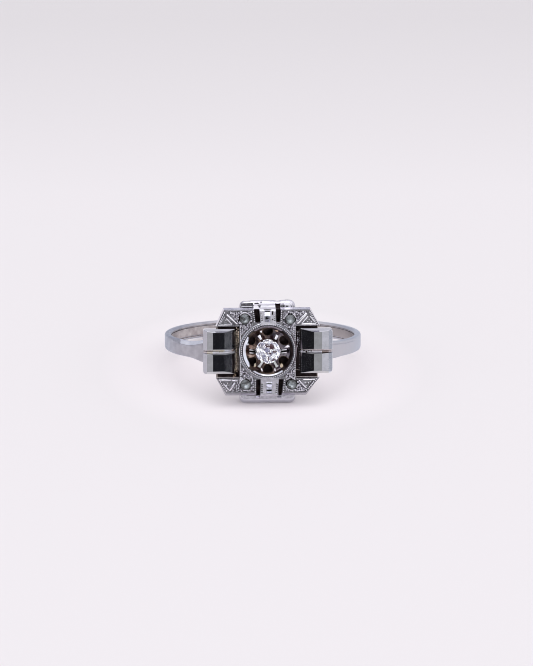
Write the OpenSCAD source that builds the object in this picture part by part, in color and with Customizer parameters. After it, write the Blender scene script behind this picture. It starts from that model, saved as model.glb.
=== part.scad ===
// Art deco ring with a flat rectangular head, lying on its side.
// The ring is drawn face up: X across the finger, Y along the hoop's axis,
// Z from the hoop's axis towards the face. lay_down() then tips it onto its side.

/* [Hoop] */
// Inside diameter of the finger hole
finger_d = 17.2; // [17:0.1:17.4]
// Thickness of the hoop's wall
hoop_t = 0.6; // [0.55:0.05:0.7]
// Width of the hoop along its axis
hoop_w = 1.45; // [1.35:0.05:1.6]
// Width of the left shoulder where it meets the side bars
left_shoulder_w = 2.1; // [1.9:0.1:2.4]
// Width of the right shoulder, which flares less
right_shoulder_w = 1.65; // [1.6:0.05:2]
// Rounding of the hoop's outer edges
hoop_edge_r = 0.2; // [0.15:0.05:0.25]
// Bevel inside the finger hole
hoop_bevel = 0.18; // [0.1:0.02:0.2]

/* [Plate] */
// Distance from the hoop's axis to the plate's face
face_z = 7.9; // [7.8:0.1:8]
// Height of the plate's face along the hoop's axis
plate_h = 7.54; // [7.44:0.02:7.6]
// Width of the plate's face across its outer points
plate_w = 9.44; // [9.3:0.02:9.5]
// Length of the plate's straight top edge
top_edge_w = 7.8; // [7.7:0.02:7.9]
// Length of the plate's straight bottom edge
bottom_edge_w = 7.4; // [7.3:0.02:7.6]
// Thickness of the plate
plate_t = 0.7; // [0.6:0.05:0.8]
// How far the plate's top and bottom walls spread outwards from face to back
plate_spread = 0.3; // [0.24:0.02:0.36]
// How far the walls of the plate's cut corners spread outwards
corner_spread = 0.08; // [0.04:0.02:0.2]
// Width of the waist between the two side notches
waist_w = 5.26; // [5.2:0.02:5.4]
// Height of each side notch
notch_h = 4.82; // [4.8:0.02:4.9]

/* [Gallery block] */
// Width of the block across the finger
block_w = 5.14; // [5:0.02:5.2]
// Reach of the block above the hoop's middle
block_top = 4.62; // [4.56:0.02:4.7]
// Reach of the block below the hoop's middle, down to the surface it rests on
block_foot = 4.9; // [4.84:0.02:4.94]
// How far the block's front lies behind the plate's face
block_set_back = 0.9; // [0.8:0.05:1]
// Depth of the block from front to finger side
block_t = 1.4; // [1.35:0.05:1.5]
// Size of the cut at the block's four outline corners
block_corner_cut = 0.5; // [0.4:0.05:0.6]
// Radius of the long rounded edges at the block's top and bottom
block_edge_r = 0.45; // [0.35:0.05:0.5]
// Thickness of the walls round the hollow inside the block
block_wall = 0.5; // [0.45:0.05:0.6]

/* [Side bars] */
// Height of a pair of bars along the hoop's axis
bars_h = 4.14; // [4:0.02:4.2]
// Distance from the centre line to the bars' outer ends
bars_end_x = 5.92; // [5.86:0.02:5.96]
// Width of the groove between the two bars of a pair
groove_w = 0.42; // [0.36:0.02:0.46]
// Width of the rib in the groove
rib_w = 0.16; // [0.12:0.02:0.18]
// Narrowing of each bar from its foot to its crest, on every side
bar_pinch = 0.25; // [0.2:0.01:0.28]
// Rounding of the outer corners
bars_corner_r = 0.3; // [0.2:0.05:0.4]

/* [Cup] */
// How far the cup's centre lies above the middle of the plate
cup_lift = 0.12; // [0:0.02:0.14]
// Outside diameter of the beaded collar
collar_d = 5.34; // [5.2:0.02:5.4]
// Outside diameter of the polished rim
rim_d = 4.74; // [4.7:0.02:4.8]
// Inside diameter of the polished rim
bowl_d = 4.26; // [4.2:0.02:4.3]
// Distance of the six windows from the centre
window_at = 1.64; // [1.6:0.01:1.66]
// Diameter of a window
window_d = 0.96; // [0.9:0.02:0.98]
// Width of a prong
prong_w = 0.32; // [0.26:0.02:0.36]
// Outer end of a prong, from the centre
prong_reach = 1.66; // [1.6:0.02:1.7]

/* [Slots and channel strips] */
// Distance of the slots from the centre line
slot_x = 0.98; // [0.96:0.01:1]
// Width of a slot
slot_w = 0.45; // [0.4:0.01:0.46]
// Inner end of a slot, from the centre
slot_from = 2.74; // [2.72:0.01:2.8]
// Outer end of a slot's pierced part, from the centre
slot_to = 4.02; // [3.95:0.01:4.05]
// Outer end of the shallow notch that carries a slot on over the block's front
notch_to = 4.42; // [4.35:0.01:4.42]
// Depth of that notch in the block's front
notch_depth = 0.16; // [0.1:0.02:0.2]
// Outer end of a channel strip, from the centre
strip_to = 4.12; // [4.05:0.01:4.2]
// Height of a channel strip over the plate's face
strip_rise = 0.08; // [0.05:0.01:0.12]

/* [Stones] */
// Diameter of the centre stone
centre_d = 2.24; // [2.2:0.02:2.3]
// Diameter of a corner stone
corner_d = 0.86; // [0.8:0.02:0.88]
// Width across a square stone
square_d = 0.46; // [0.42:0.02:0.48]
// Gap between a stone and its seat
seat_gap = 0.03; // [0.02:0.01:0.04]

/* [Hidden] */
$fn = 96;
far = 20;
eps = 0.02;
arc_steps = 4;
white_gold = "silver";
diamond = "aliceblue";

inner_r = finger_d / 2;
outer_r = inner_r + hoop_t;
shoulder_x = bars_end_x - 0.12;
flare_from_x = 7.25;
flare_rows = [[shoulder_x, 1], [6.05, 0.94], [6.35, 0.66], [6.75, 0.28], [flare_from_x, 0]];
FLARE_X = 0;
FLARE_SHARE = 1;

plate_z = face_z - plate_t;
block_z = face_z - block_set_back;
back_z = block_z - block_t;
floor_t = 0.3;
hollow_corner_r = 0.25;
hollow_z = back_z + floor_t;
hollow_t = block_t - 2 * floor_t;

// Bar profile across the finger: distance from the centre line, drop below the face
bars_foot_x = waist_w / 2 + 0.4;
bar_rows = [[bars_foot_x, 0.7], [4.1, 0.25], [5.06, 0.27], [5.74, 0.46], [bars_end_x, 0.62]];
ROW_X = 0;
ROW_DROP = 1;
bars_base_z = 6.3;
bars_crest_z = face_z - 0.25;
bars_low_z = face_z - 0.7;
web_h = 5.2;
web_end_x = 4.75;
web_drop = 1.15;
bars_floor_drop = 0.3;
rib_drop = 0.06;
ledge_drop = 0.95;

// Bowl profile inside the cup: radius, drop below the rim's top
rim_z = face_z + 0.12;
collar_z = face_z + 0.05;
well_r = 0.75;
bowl_rows = [[bowl_d / 2, 0], [2.06, 0.18], [1.96, 0.42], [1.72, 0.62], [1.3, 0.78], [well_r, 0.9]];
ROW_R = 0;
cup_foot_z = block_z - 0.3;
collar_groove = [0.06, 0.08];
prong_tip_rise = 0.24;
prong_grip = 0.17;
prong_angles = [0, 60, 120, 180, 240, 300];

// Centre stone
girdle_z = face_z + 0.08;
crown_h = 0.36;
girdle_t = 0.05;
pavilion_h = 0.98;
table_share = 0.56;
kite_share = 0.82;
kite_lift = 0.62;

// Inner end of a channel strip, inside the collar's edge
strip_from = collar_d / 2 - 0.2;

// Small stones: seats on the plate and the strips
corner_at = [2.13, 3.07];
corner_lift = 0.05;
small_depth = 0.34;
square_rows = [3.06, 3.62];
square_lift = 0.02;
seat_depth = 0.42;

// Small stones' levels: share of the radius, height over the girdle
corner_levels = [[0.5, 0.12], [1, 0], [1, -0.04], [0.2, -small_depth]];
square_levels = [[0.62, 0.08], [1, 0], [1, -0.04], [0.6, -0.2], [0.2, -small_depth]];
LEVEL_SHARE = 0;
LEVEL_Z = 1;

// Corner triangles on the plate's four wings: foot at the waist, outer point, apex
triangle = [[2.78, 2.52], [4.56, 2.52], [3.84, 3.54]];
triangle_rim = 0.13;
panel_depth = 0.1;
ridge_rise = 0.08;

// Resting attitude: the floor touches the block's lower edge and the back of the hoop
lead = (block_z - block_edge_r) + (outer_r - hoop_edge_r);
climb = (block_foot - block_edge_r) - (hoop_w / 2 - hoop_edge_r);
tilt = atan(climb / lead) + asin((block_edge_r - hoop_edge_r) / norm([lead, climb]));
rest_z = hoop_edge_r + (outer_r - hoop_edge_r) * sin(tilt) + (hoop_w / 2 - hoop_edge_r) * cos(tilt);
front_y = -(face_z * cos(tilt) + plate_h / 2 * sin(tilt));
rear_y = (outer_r - hoop_edge_r) * cos(tilt) + (hoop_w / 2 - hoop_edge_r) * sin(tilt) + hoop_edge_r;

// Points of an arc about c, from angle a to angle b
function arc(c, r, a, b, n = arc_steps) = [for (i = [0 : n])
    c + r * [cos(a + (b - a) * i / n), sin(a + (b - a) * i / n)]];

// Rectangle about the centre with rounded corners, or with cut corners where n is 1
function rounded_box(w, h, r, n = arc_steps) = concat(
    arc([w / 2 - r, h / 2 - r], r, 0, 90, n), arc([r - w / 2, h / 2 - r], r, 90, 180, n),
    arc([r - w / 2, r - h / 2], r, 180, 270, n), arc([w / 2 - r, r - h / 2], r, 270, 360, n));

// The other half of an outline, mirrored and taken backwards
function mirrored(p) = [for (i = [len(p) - 1 : -1 : 0]) [-p[i][0], p[i][1]]];

// One long side of the block, drawn as (along the hoop's axis, height): rounded at the
// front, then narrowing by the resting tilt towards the finger
function block_side(reach) =
    let (waist = reach - block_edge_r * (1 - cos(tilt)))
    concat(arc([reach - block_edge_r, block_z - block_edge_r], block_edge_r, 90, -tilt),
        [[waist - (block_t - block_edge_r * (1 + sin(tilt))) * tan(tilt), back_z]]);

// Tips the face-up ring onto its side, centred over the floor
module lay_down() {
    translate([0, -(front_y + rear_y) / 2, rest_z]) rotate([90 - tilt, 0, 0]) children();
}

// Turns a section drawn as (across the finger, height) into a bar along the hoop's axis
module along_axis(length) {
    rotate([90, 0, 0]) linear_extrude(height = length, center = true) children();
}

// Turns a section drawn as (along the hoop's axis, height) into a bar across the finger
module across_finger(from_x, length) {
    translate([from_x, 0, 0]) rotate([90, 0, 90]) linear_extrude(height = length) children();
}

module in_four_corners() {
    for (sx = [0, 1]) mirror([sx, 0, 0]) for (sy = [0, 1]) mirror([0, sy, 0]) children();
}

module at_cup() {
    translate([0, cup_lift, 0]) children();
}

module on_both_sides() {
    for (s = [0, 1]) mirror([s, 0, 0]) children();
}

module at_both_ends() {
    for (s = [0, 1]) mirror([0, s, 0]) children();
}

// Section of the hoop: soft outer edges, bevelled inner edges
module hoop_section(w) {
    polygon(concat(
        [[inner_r + hoop_bevel, w / 2], [inner_r, w / 2 - hoop_bevel],
            [inner_r, hoop_bevel - w / 2], [inner_r + hoop_bevel, -w / 2]],
        arc([outer_r - hoop_edge_r, hoop_edge_r - w / 2], hoop_edge_r, -90, 0),
        arc([outer_r - hoop_edge_r, w / 2 - hoop_edge_r], hoop_edge_r, 0, 90)));
}

module hoop_ring(w) {
    rotate([90, 0, 0]) rotate_extrude() hoop_section(w);
}

// Outline of the widened shoulders, seen from the face
module shoulder_outline(w) {
    edge = [for (row = flare_rows) [row[FLARE_X], (hoop_w + (w - hoop_w) * row[FLARE_SHARE]) / 2]];
    polygon(concat(edge, [for (i = [len(edge) - 1 : -1 : 0]) [edge[i][0], -edge[i][1]]]));
}

module shoulder(w) {
    intersection() {
        hoop_ring(w);
        linear_extrude(height = far) shoulder_outline(w);
    }
}

module hoop() {
    difference() {
        hoop_ring(hoop_w);
        translate([-shoulder_x, -far / 2, inner_r / 2]) cube([2 * shoulder_x, far, far]);
    }
    shoulder(right_shoulder_w);
    mirror([1, 0, 0]) shoulder(left_shoulder_w);
}

// Outward side of a sloping wall that passes through the point p, facing angle a
module wall_cut(p, a, spread) {
    translate([p[0], p[1], face_z]) rotate([0, 0, a]) rotate([0, -atan(spread / plate_t), 0])
        translate([0, -far, -far]) cube(2 * far);
}

module plate_blank() {
    slant_h = (plate_h - notch_h) / 2;
    difference() {
        translate([-far / 2, -far / 2, plate_z]) cube([far, far, plate_t]);
        for (a = [90, 270]) wall_cut(plate_h / 2 * [0, sin(a)], a, plate_spread);
        for (sx = [1, -1]) for (sy = [1, -1])
            wall_cut([sx * plate_w / 2, sy * notch_h / 2],
                atan2(sy * (plate_w - (sy > 0 ? top_edge_w : bottom_edge_w)) / 2, sx * slant_h),
                corner_spread);
        on_both_sides() translate([waist_w / 2, -notch_h / 2, 0]) cube([far, notch_h, far]);
    }
}

// Sunk panel of a corner triangle
module triangle_panel() {
    middle = (triangle[0] + triangle[1] + triangle[2]) / 3;
    shrink = 1 - 2.6 * triangle_rim / norm(triangle[2] - middle);
    translate([0, 0, face_z - panel_depth]) linear_extrude(height = 1)
        polygon([for (p = triangle) middle + shrink * (p - middle)]);
}

// Raised ridge along the side of the triangle that faces the cup
module triangle_ridge() {
    run = triangle[2] - triangle[0];
    side = triangle_rim * [run[1], -run[0]] / norm(run);
    translate([0, 0, face_z - eps]) linear_extrude(height = ridge_rise + eps)
        polygon([triangle[0], triangle[2], triangle[2] + side, triangle[0] + side]);
}

module plate() {
    difference() {
        plate_blank();
        in_four_corners() triangle_panel();
    }
    in_four_corners() triangle_ridge();
}

// Block with cut outline corners, reaching further down than up
module gallery_block() {
    intersection() {
        translate([0, (block_top - block_foot) / 2, back_z]) linear_extrude(height = block_t)
            polygon(rounded_box(block_w, block_top + block_foot, block_corner_cut, 1));
        across_finger(-block_w, 2 * block_w)
            polygon(concat(block_side(block_top), mirrored(block_side(block_foot))));
    }
}

// Closed hollow inside the block: the windows and the slots open into it
module block_hollow() {
    translate([0, (block_top - block_foot) / 2, hollow_z]) linear_extrude(height = hollow_t)
        polygon(rounded_box(block_w - 2 * block_wall, block_top + block_foot - 3 * block_wall,
            hollow_corner_r));
}

// Section of a pair of bars across the finger, lowered by drop
module bar_profile(drop) {
    polygon(concat([[bars_foot_x, bars_base_z]],
        [for (row = bar_rows) [row[ROW_X], face_z - row[ROW_DROP] - drop]],
        [[bars_end_x, bars_base_z]]));
}

// Section of one bar along the hoop's axis: both its sides lean in towards the crest
module bar_section() {
    polygon([[0, bars_base_z], [bars_h / 2, bars_base_z], [bars_h / 2, bars_low_z],
        [bars_h / 2 - bar_pinch, bars_crest_z + eps], [groove_w / 2, bars_crest_z + eps],
        [groove_w / 4, bars_low_z], [0, bars_low_z]]);
}

module side_bars() {
    intersection() {
        union() {
            at_both_ends() intersection() {
                along_axis(bars_h) bar_profile(0);
                across_finger(0, far) bar_section();
            }
            along_axis(groove_w) bar_profile(bars_floor_drop);
            along_axis(rib_w) bar_profile(rib_drop);
        }
        linear_extrude(height = far) polygon(rounded_box(2 * bars_end_x, bars_h, bars_corner_r));
    }
}

// Low ledge that carries the bars and ties them to the block
module ledge() {
    translate([0, 0, bars_base_z]) linear_extrude(height = face_z - ledge_drop - bars_base_z)
        square([2 * bars_foot_x + 1, bars_h - 2 * bar_pinch], center = true);
}

// Web behind the plate's side notches: it closes the slits above and below the bars
module web() {
    translate([0, 0, bars_base_z]) linear_extrude(height = face_z - web_drop - bars_base_z)
        square([2 * web_end_x, web_h], center = true);
}

// Solid of the cup: beaded collar outside, polished rim inside it
module cup_body() {
    groove_r = rim_d / 2 + collar_groove[0];
    rotate_extrude() polygon([[0, cup_foot_z], [collar_d / 2, cup_foot_z], [collar_d / 2, collar_z],
        [groove_r, collar_z], [groove_r, collar_z - collar_groove[1]],
        [rim_d / 2, collar_z - collar_groove[1]],
        [rim_d / 2 - 0.03, rim_z], [0, rim_z]]);
}

module bowl() {
    rotate_extrude() polygon(concat([[0, rim_z + 1], [bowl_d / 2, rim_z + 1]],
        [for (row = bowl_rows) [row[ROW_R], rim_z - row[ROW_DROP]]],
        [[well_r, hollow_z + eps], [0, hollow_z + eps]]));
}

module windows() {
    for (a = prong_angles) rotate([0, 0, a + 30])
        translate([window_at, 0, hollow_z + eps]) cylinder(d = window_d, h = far);
}

// Upright fin on the bowl; its inner end is bent over the stone's edge
module prongs() {
    inner = centre_d / 2 - prong_grip;
    for (a = prong_angles) rotate([0, 0, a]) rotate([90, 0, 0])
        linear_extrude(height = prong_w, center = true)
        polygon([[inner, rim_z - 0.84], [prong_reach, rim_z - 0.7], [prong_reach, face_z - 0.02],
            [inner + 0.3, girdle_z + 0.16], [inner + 0.1, girdle_z + prong_tip_rise],
            [inner, girdle_z + prong_tip_rise - 0.02]]);
}

// Space kept free for the centre stone
module centre_seat() {
    r = centre_d / 2 + seat_gap;
    top = girdle_z + girdle_t;
    rotate_extrude() polygon([[0, girdle_z - pavilion_h - 2 * seat_gap], [r, girdle_z - seat_gap],
        [r, top + seat_gap], [r * kite_share + seat_gap, top + crown_h * kite_lift + 2 * seat_gap],
        [r * table_share, top + crown_h + 2 * seat_gap], [0, top + crown_h + 1]]);
}

module channel_strips() {
    at_both_ends() intersection() {
        across_finger(-slot_x + slot_w / 2, 2 * slot_x - slot_w)
            polygon([[strip_from, plate_z], [strip_from, face_z + strip_rise],
                [strip_to - 0.12, face_z + strip_rise], [strip_to, face_z - 0.1],
                [strip_to, plate_z - 0.3]]);
        difference() {
            cylinder(r = far, h = far);
            at_cup() cylinder(d = collar_d - 0.1, h = far);
        }
    }
}

module slots() {
    in_four_corners() translate([slot_x - slot_w / 2, 0, 0]) {
        translate([0, slot_from, hollow_z + eps]) cube([slot_w, slot_to - slot_from, far]);
        translate([0, slot_from, block_z - notch_depth]) cube([slot_w, notch_to - slot_from, far]);
    }
}

module corner_seats() {
    r = corner_d / 2 + seat_gap;
    in_four_corners() translate([corner_at[0], corner_at[1], face_z - seat_depth])
        cylinder(r = r, h = 1);
}

module square_seats() {
    w = square_d + 2 * seat_gap;
    at_both_ends() for (y = square_rows) translate([-w / 2, y - w / 2, face_z - seat_depth])
        cube([w, w, 1]);
}

// All the soldered metal
module metal_mount() {
    color(white_gold) lay_down() {
        hoop();
        on_both_sides() side_bars();
        difference() {
            union() {
                plate();
                gallery_block();
                ledge();
                web();
                at_cup() cup_body();
                channel_strips();
            }
            block_hollow();
            at_cup() {
                bowl();
                windows();
            }
            slots();
            corner_seats();
            square_seats();
        }
        at_cup() difference() {
            prongs();
            centre_seat();
        }
    }
}

// Thin slice of a stone: n sides, radius r at its corners, height z
module slice(n, r, z, turn = 0) {
    rotate([0, 0, turn]) translate([0, 0, z]) cylinder(r = r, h = 0.001, $fn = n);
}

// Brilliant cut: table, kites, girdle, pavilion down to the culet
module centre_stone() {
    r = centre_d / 2;
    color(diamond) lay_down() at_cup() translate([0, 0, girdle_z]) hull() {
        slice(8, r * table_share, girdle_t + crown_h);
        slice(8, r * kite_share, girdle_t + crown_h * kite_lift, 22.5);
        rotate([0, 0, 11.25]) rotate_extrude($fn = 16) square([r, girdle_t]);
        slice(8, r * 0.04, -pavilion_h);
    }
}

// Single cut: eight-sided table, girdle and culet
module corner_stone(sx, sy) {
    r = corner_d / 2;
    color(diamond) lay_down()
        translate([sx * corner_at[0], sy * corner_at[1], face_z + corner_lift]) hull() {
            slice(8, r * corner_levels[0][LEVEL_SHARE], corner_levels[0][LEVEL_Z], 22.5);
            for (i = [1 : 3]) slice(8, r * corner_levels[i][LEVEL_SHARE], corner_levels[i][LEVEL_Z]);
        }
}

// Square cut: square table, stepped crown and a stepped pavilion
module square_stone(y) {
    r = square_d / sqrt(2);
    color(diamond) lay_down() translate([0, y, face_z + square_lift]) hull() {
        for (row = square_levels) slice(4, r * row[LEVEL_SHARE], row[LEVEL_Z], 45);
    }
}

metal_mount();
centre_stone();
corner_stone(-1, 1);  // corner_stone_1
corner_stone(1, 1);  // corner_stone_2
corner_stone(-1, -1);  // corner_stone_3
corner_stone(1, -1);  // corner_stone_4
square_stone(square_rows[1]);  // square_stone_1
square_stone(square_rows[0]);  // square_stone_2
square_stone(-square_rows[0]);  // square_stone_3
square_stone(-square_rows[1]);  // square_stone_4
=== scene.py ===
import random
import bpy
import bmesh
from math import asin, atan2, cos, degrees, exp, hypot, pi, radians, sin, tan
from mathutils import Matrix, Vector
from mathutils.geometry import delaunay_2d_cdt


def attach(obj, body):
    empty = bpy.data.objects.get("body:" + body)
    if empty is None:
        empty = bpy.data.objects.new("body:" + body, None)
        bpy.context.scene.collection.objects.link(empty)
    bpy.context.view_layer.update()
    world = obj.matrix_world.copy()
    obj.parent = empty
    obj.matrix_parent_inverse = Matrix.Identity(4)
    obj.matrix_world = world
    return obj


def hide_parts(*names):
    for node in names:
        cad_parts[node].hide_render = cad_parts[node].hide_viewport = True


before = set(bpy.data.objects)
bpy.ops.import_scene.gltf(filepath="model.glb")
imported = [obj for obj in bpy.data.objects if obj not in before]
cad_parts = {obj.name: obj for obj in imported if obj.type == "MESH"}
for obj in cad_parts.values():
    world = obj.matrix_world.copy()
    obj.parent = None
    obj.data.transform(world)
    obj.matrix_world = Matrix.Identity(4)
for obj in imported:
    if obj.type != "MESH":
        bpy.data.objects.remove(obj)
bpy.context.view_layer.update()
scene = bpy.context.scene
dice = random.Random(11)
print("ring: frame loaded")

# everything is built face up in millimetres: x across the finger, y along the hoop's axis,
# z from the hoop's axis to the face, and then laid on its side
resting = {"tilt": 15.0594, "shiftY": -0.20955, "lift": 3.04535}
faceLevel = 7.9
upright = Matrix.Rotation(radians(90 - resting["tilt"]), 4, "X")
ringToRow = Matrix.Scale(0.001, 4) @ Matrix.Translation((0, resting["shiftY"], resting["lift"])) @ upright


# outlines
def polar(radius, turn, centre=(0, 0)):
    return centre[0] + radius * cos(turn), centre[1] + radius * sin(turn)


def circlePoints(radius, count, centre=(0, 0), start=0.0):
    return [polar(radius, radians(start) + 2 * pi * k / count, centre) for k in range(count)]


def roundedRect(width, height, radius, steps=5, centre=(0, 0)):
    points = []
    for sx, sy, first in ((1, 1, 0), (-1, 1, 90), (-1, -1, 180), (1, -1, 270)):
        corner = (centre[0] + sx * (width / 2 - radius), centre[1] + sy * (height / 2 - radius))
        points += [polar(radius, radians(first + 90 * k / steps), corner) for k in range(steps + 1)]
    return points


def grow(points, amount):  # moves a counter-clockwise outline outwards
    moved = []
    for k, here in enumerate(points):
        before, after = points[k - 1], points[(k + 1) % len(points)]
        a = (Vector(here) - Vector(before)).normalized()
        b = (Vector(after) - Vector(here)).normalized()
        side = Vector((a.y + b.y, -a.x - b.x)) / (1 + a.dot(b))
        moved.append((here[0] + side.x * amount, here[1] + side.y * amount))
    return moved


def along(a, b, pitch):  # evenly spaced points between two ends
    a, b = Vector(a), Vector(b)
    count = max(2, round((b - a).length / pitch))
    return [a.lerp(b, k / count) for k in range(count + 1)]


def lineOutline(a, b, width):  # outline of a straight line between two points
    a, b = Vector(a), Vector(b)
    run = (b - a).normalized()
    side = Vector((-run.y, run.x)) * width / 2
    return [tuple(p) for p in (a - side, b - side, b + side, a + side)]


def inside(point, outline):
    x, y, odd = point[0], point[1], False
    for (ax, ay), (bx, by) in zip(outline, outline[1:] + outline[:1]):
        if (ay > y) != (by > y) and x < (bx - ax) * (y - ay) / (by - ay) + ax:
            odd = not odd
    return odd


def between(table, value):  # reads a table of places and values
    for (a, u), (b, w) in zip(table, table[1:]):
        if value <= b:
            return u + (w - u) * max(0.0, (value - a) / (b - a))
    return table[-1][1]


# mesh building
def loopAt(bm, points, z):
    return [bm.verts.new((p[0], p[1], z)) for p in points]


def ringAt(bm, radius, count, z, centre=(0, 0), start=0.0):
    return loopAt(bm, circlePoints(radius, count, centre, start), z)


def middles(bm):
    return [(f, f.calc_center_median()) for f in bm.faces]


def face(bm, corners, look=0):
    bm.faces.new(corners).material_index = look


def skin(bm, first, second, look=0):
    for k in range(len(first)):
        j = (k + 1) % len(first)
        face(bm, (first[k], first[j], second[j], second[k]), look)


def cover(bm, loops, look=0):  # fills the first loop, with the other ones as holes in it
    flat = [v for loop in loops for v in loop]
    rims, first = [], 0
    for loop in loops:
        rims += [(first + k, first + (k + 1) % len(loop)) for k in range(len(loop))]
        first += len(loop)
    spots, lines, pieces, origins = delaunay_2d_cdt([v.co.xy for v in flat], rims, [], 0, 1e-7)[:4]
    outlines = [[(v.co.x, v.co.y) for v in loop] for loop in loops]
    level = flat[0].co.z
    made = [flat[o[0]] if o else bm.verts.new((*spot, level)) for o, spot in zip(origins, spots)]
    for corners in pieces:
        middle = sum((spots[k] for k in corners), Vector((0, 0))) / 3
        if inside(middle, outlines[0]) and not any(inside(middle, hole) for hole in outlines[1:]):
            face(bm, [made[k] for k in corners], look)


def bridge(bm, rings, look=0, looks=None):  # joins rings and closes both ends
    for a, b, tone in zip(rings, rings[1:], looks or [look] * len(rings)):
        skin(bm, a, b, tone)
    face(bm, rings[0], look)
    face(bm, rings[-1], look)


def prism(bm, outline, low, high, look=0):  # closed upright body
    bridge(bm, [loopAt(bm, outline, low), loopAt(bm, outline, high)], look)


def box(bm, low, high, look=0):
    prism(bm, [low[:2], (high[0], low[1]), high[:2], (low[0], high[1])], low[2], high[2], look)


def sink(bm, outline, level, depth, look=1):  # pit with upright walls, gives its rim
    rim, bed = loopAt(bm, outline, level), loopAt(bm, outline, level - depth)
    skin(bm, rim, bed, look)
    cover(bm, [bed], look)
    return rim


def beads(bm, spots, radius, look=0):
    for spot in spots:
        made = bmesh.ops.create_icosphere(bm, subdivisions=2, radius=radius, matrix=Matrix.Translation(spot))
        for f in {f for v in made["verts"] for f in v.link_faces}:
            f.material_index = look


def ridge(bm, a, b, width, low, high, look=0):  # bar with a rounded back
    a, b = Vector(a), Vector(b)
    run = (b - a).normalized()
    side = Vector((-run.y, run.x))
    rows = []
    for p, shrink in ((a - run * width * 0.3, 0.55), (a, 1), (b, 1), (b + run * width * 0.3, 0.55)):
        half = side * width / 2 * shrink
        row = [(p - half, low)]
        for k in range(7):
            t = pi * k / 6
            row.append((p - half * cos(t), low + (high - low) * (0.35 + 0.65 * sin(t) * shrink)))
        row.append((p + half, low))
        rows.append([bm.verts.new((q.x, q.y, z)) for q, z in row])
    bridge(bm, rows, look)


def bevel(bm, edges, width, steps):
    bm.normal_update()
    bmesh.ops.bevel(bm, geom=edges, offset=width, segments=steps, profile=0.6, affect="EDGES",
                    clamp_overlap=True)


def soften(bm, width):  # bevels the edges that turn more than 30 degrees
    bm.normal_update()
    bmesh.ops.dissolve_limit(bm, angle_limit=0.02, verts=bm.verts, edges=bm.edges)
    bm.normal_update()
    sharp = [e for e in bm.edges if len(e.link_faces) == 2 and e.calc_face_angle(0) > radians(30)]
    bevel(bm, sharp, width, 2)


def merge(bm, part):  # adds a finished part to a piece
    mesh = bpy.data.meshes.new("work")
    part.to_mesh(mesh)
    part.free()
    bm.from_mesh(mesh)


def carved(body, cutter):  # body with cutter taken out of it
    stand = []
    for bm in (body, cutter):
        bmesh.ops.recalc_face_normals(bm, faces=bm.faces)
        mesh = bpy.data.meshes.new("work")
        bm.to_mesh(mesh)
        bm.free()
        stand.append(bpy.data.objects.new("work", mesh))
        scene.collection.objects.link(stand[-1])
    cut = stand[0].modifiers.new("cut", "BOOLEAN")
    cut.operation = "DIFFERENCE"
    cut.solver = "EXACT"
    cut.object = stand[1]
    cut.use_self = True
    done = bmesh.new()
    done.from_mesh(stand[0].evaluated_get(bpy.context.evaluated_depsgraph_get()).to_mesh())
    for o in stand:
        bpy.data.objects.remove(o)
    return done


def addPiece(name, bm, looks, sharp):
    bmesh.ops.recalc_face_normals(bm, faces=bm.faces)
    bm.transform(ringToRow)
    mesh = bpy.data.meshes.new(name)
    bm.to_mesh(mesh)
    bm.free()
    for look in looks:
        mesh.materials.append(look)
    mesh.shade_smooth()
    mesh.set_sharp_from_angle(angle=radians(sharp))
    piece = bpy.data.objects.new(name, mesh)
    scene.collection.objects.link(piece)
    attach(piece, "root")
    return piece


def addMetal(name, bm, looks, sharp):
    piece = addPiece(name, bm, [metal[look] for look in looks], sharp)
    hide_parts("metal_mount")


# materials
def fill(tree, node, inputs):  # gives sockets a link or a value
    for key, value in inputs.items():
        socket = node.inputs[key]
        if isinstance(value, bpy.types.NodeSocket):
            tree.links.new(value, socket)
        else:
            socket.default_value = (*value, 1) if socket.type == "RGBA" else value


def addNode(tree, kind, inputs, **settings):
    node = tree.nodes.new("ShaderNode" + kind)
    for key, value in settings.items():
        setattr(node, key, value)
    fill(tree, node, inputs)
    return node


def blank(name):
    material = bpy.data.materials.new(name)
    material.use_nodes = True
    tree = material.node_tree
    tree.nodes.clear()
    surface = addNode(tree, "BsdfPrincipled", {})
    addNode(tree, "OutputMaterial", {"Surface": surface.outputs["BSDF"]})
    return material, tree, surface


def ringCoords(tree, stretch=(1, 1, 1)):  # millimetres in the face-up frame
    coords = addNode(tree, "TexCoord", {})
    turn = addNode(tree, "Mapping", {"Vector": coords.outputs["Object"], "Scale": (1000, 1000, 1000),
                                     "Rotation": (radians(resting["tilt"] - 90), 0, 0)})
    return addNode(tree, "Mapping", {"Vector": turn.outputs["Vector"], "Scale": stretch}).outputs["Vector"]


def noise(tree, where, scale, detail, rough):
    inputs = {"Vector": where, "Scale": scale, "Detail": detail, "Roughness": rough}
    return addNode(tree, "TexNoise", inputs).outputs["Fac"]


def cells(tree, scale):
    return addNode(tree, "TexVoronoi", {"Vector": ringCoords(tree), "Scale": scale})


def spread(tree, value, low, high, toLow=0, toHigh=1):
    inputs = {"Value": value, "From Min": low, "From Max": high, "To Min": toLow, "To Max": toHigh}
    return addNode(tree, "MapRange", inputs).outputs["Result"]


def blendColours(tree, share, first, second):  # the colours are sockets 6 and 7, and 2 going out
    return addNode(tree, "Mix", {0: share, 6: first, 7: second}, data_type="RGBA").outputs[2]


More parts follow.
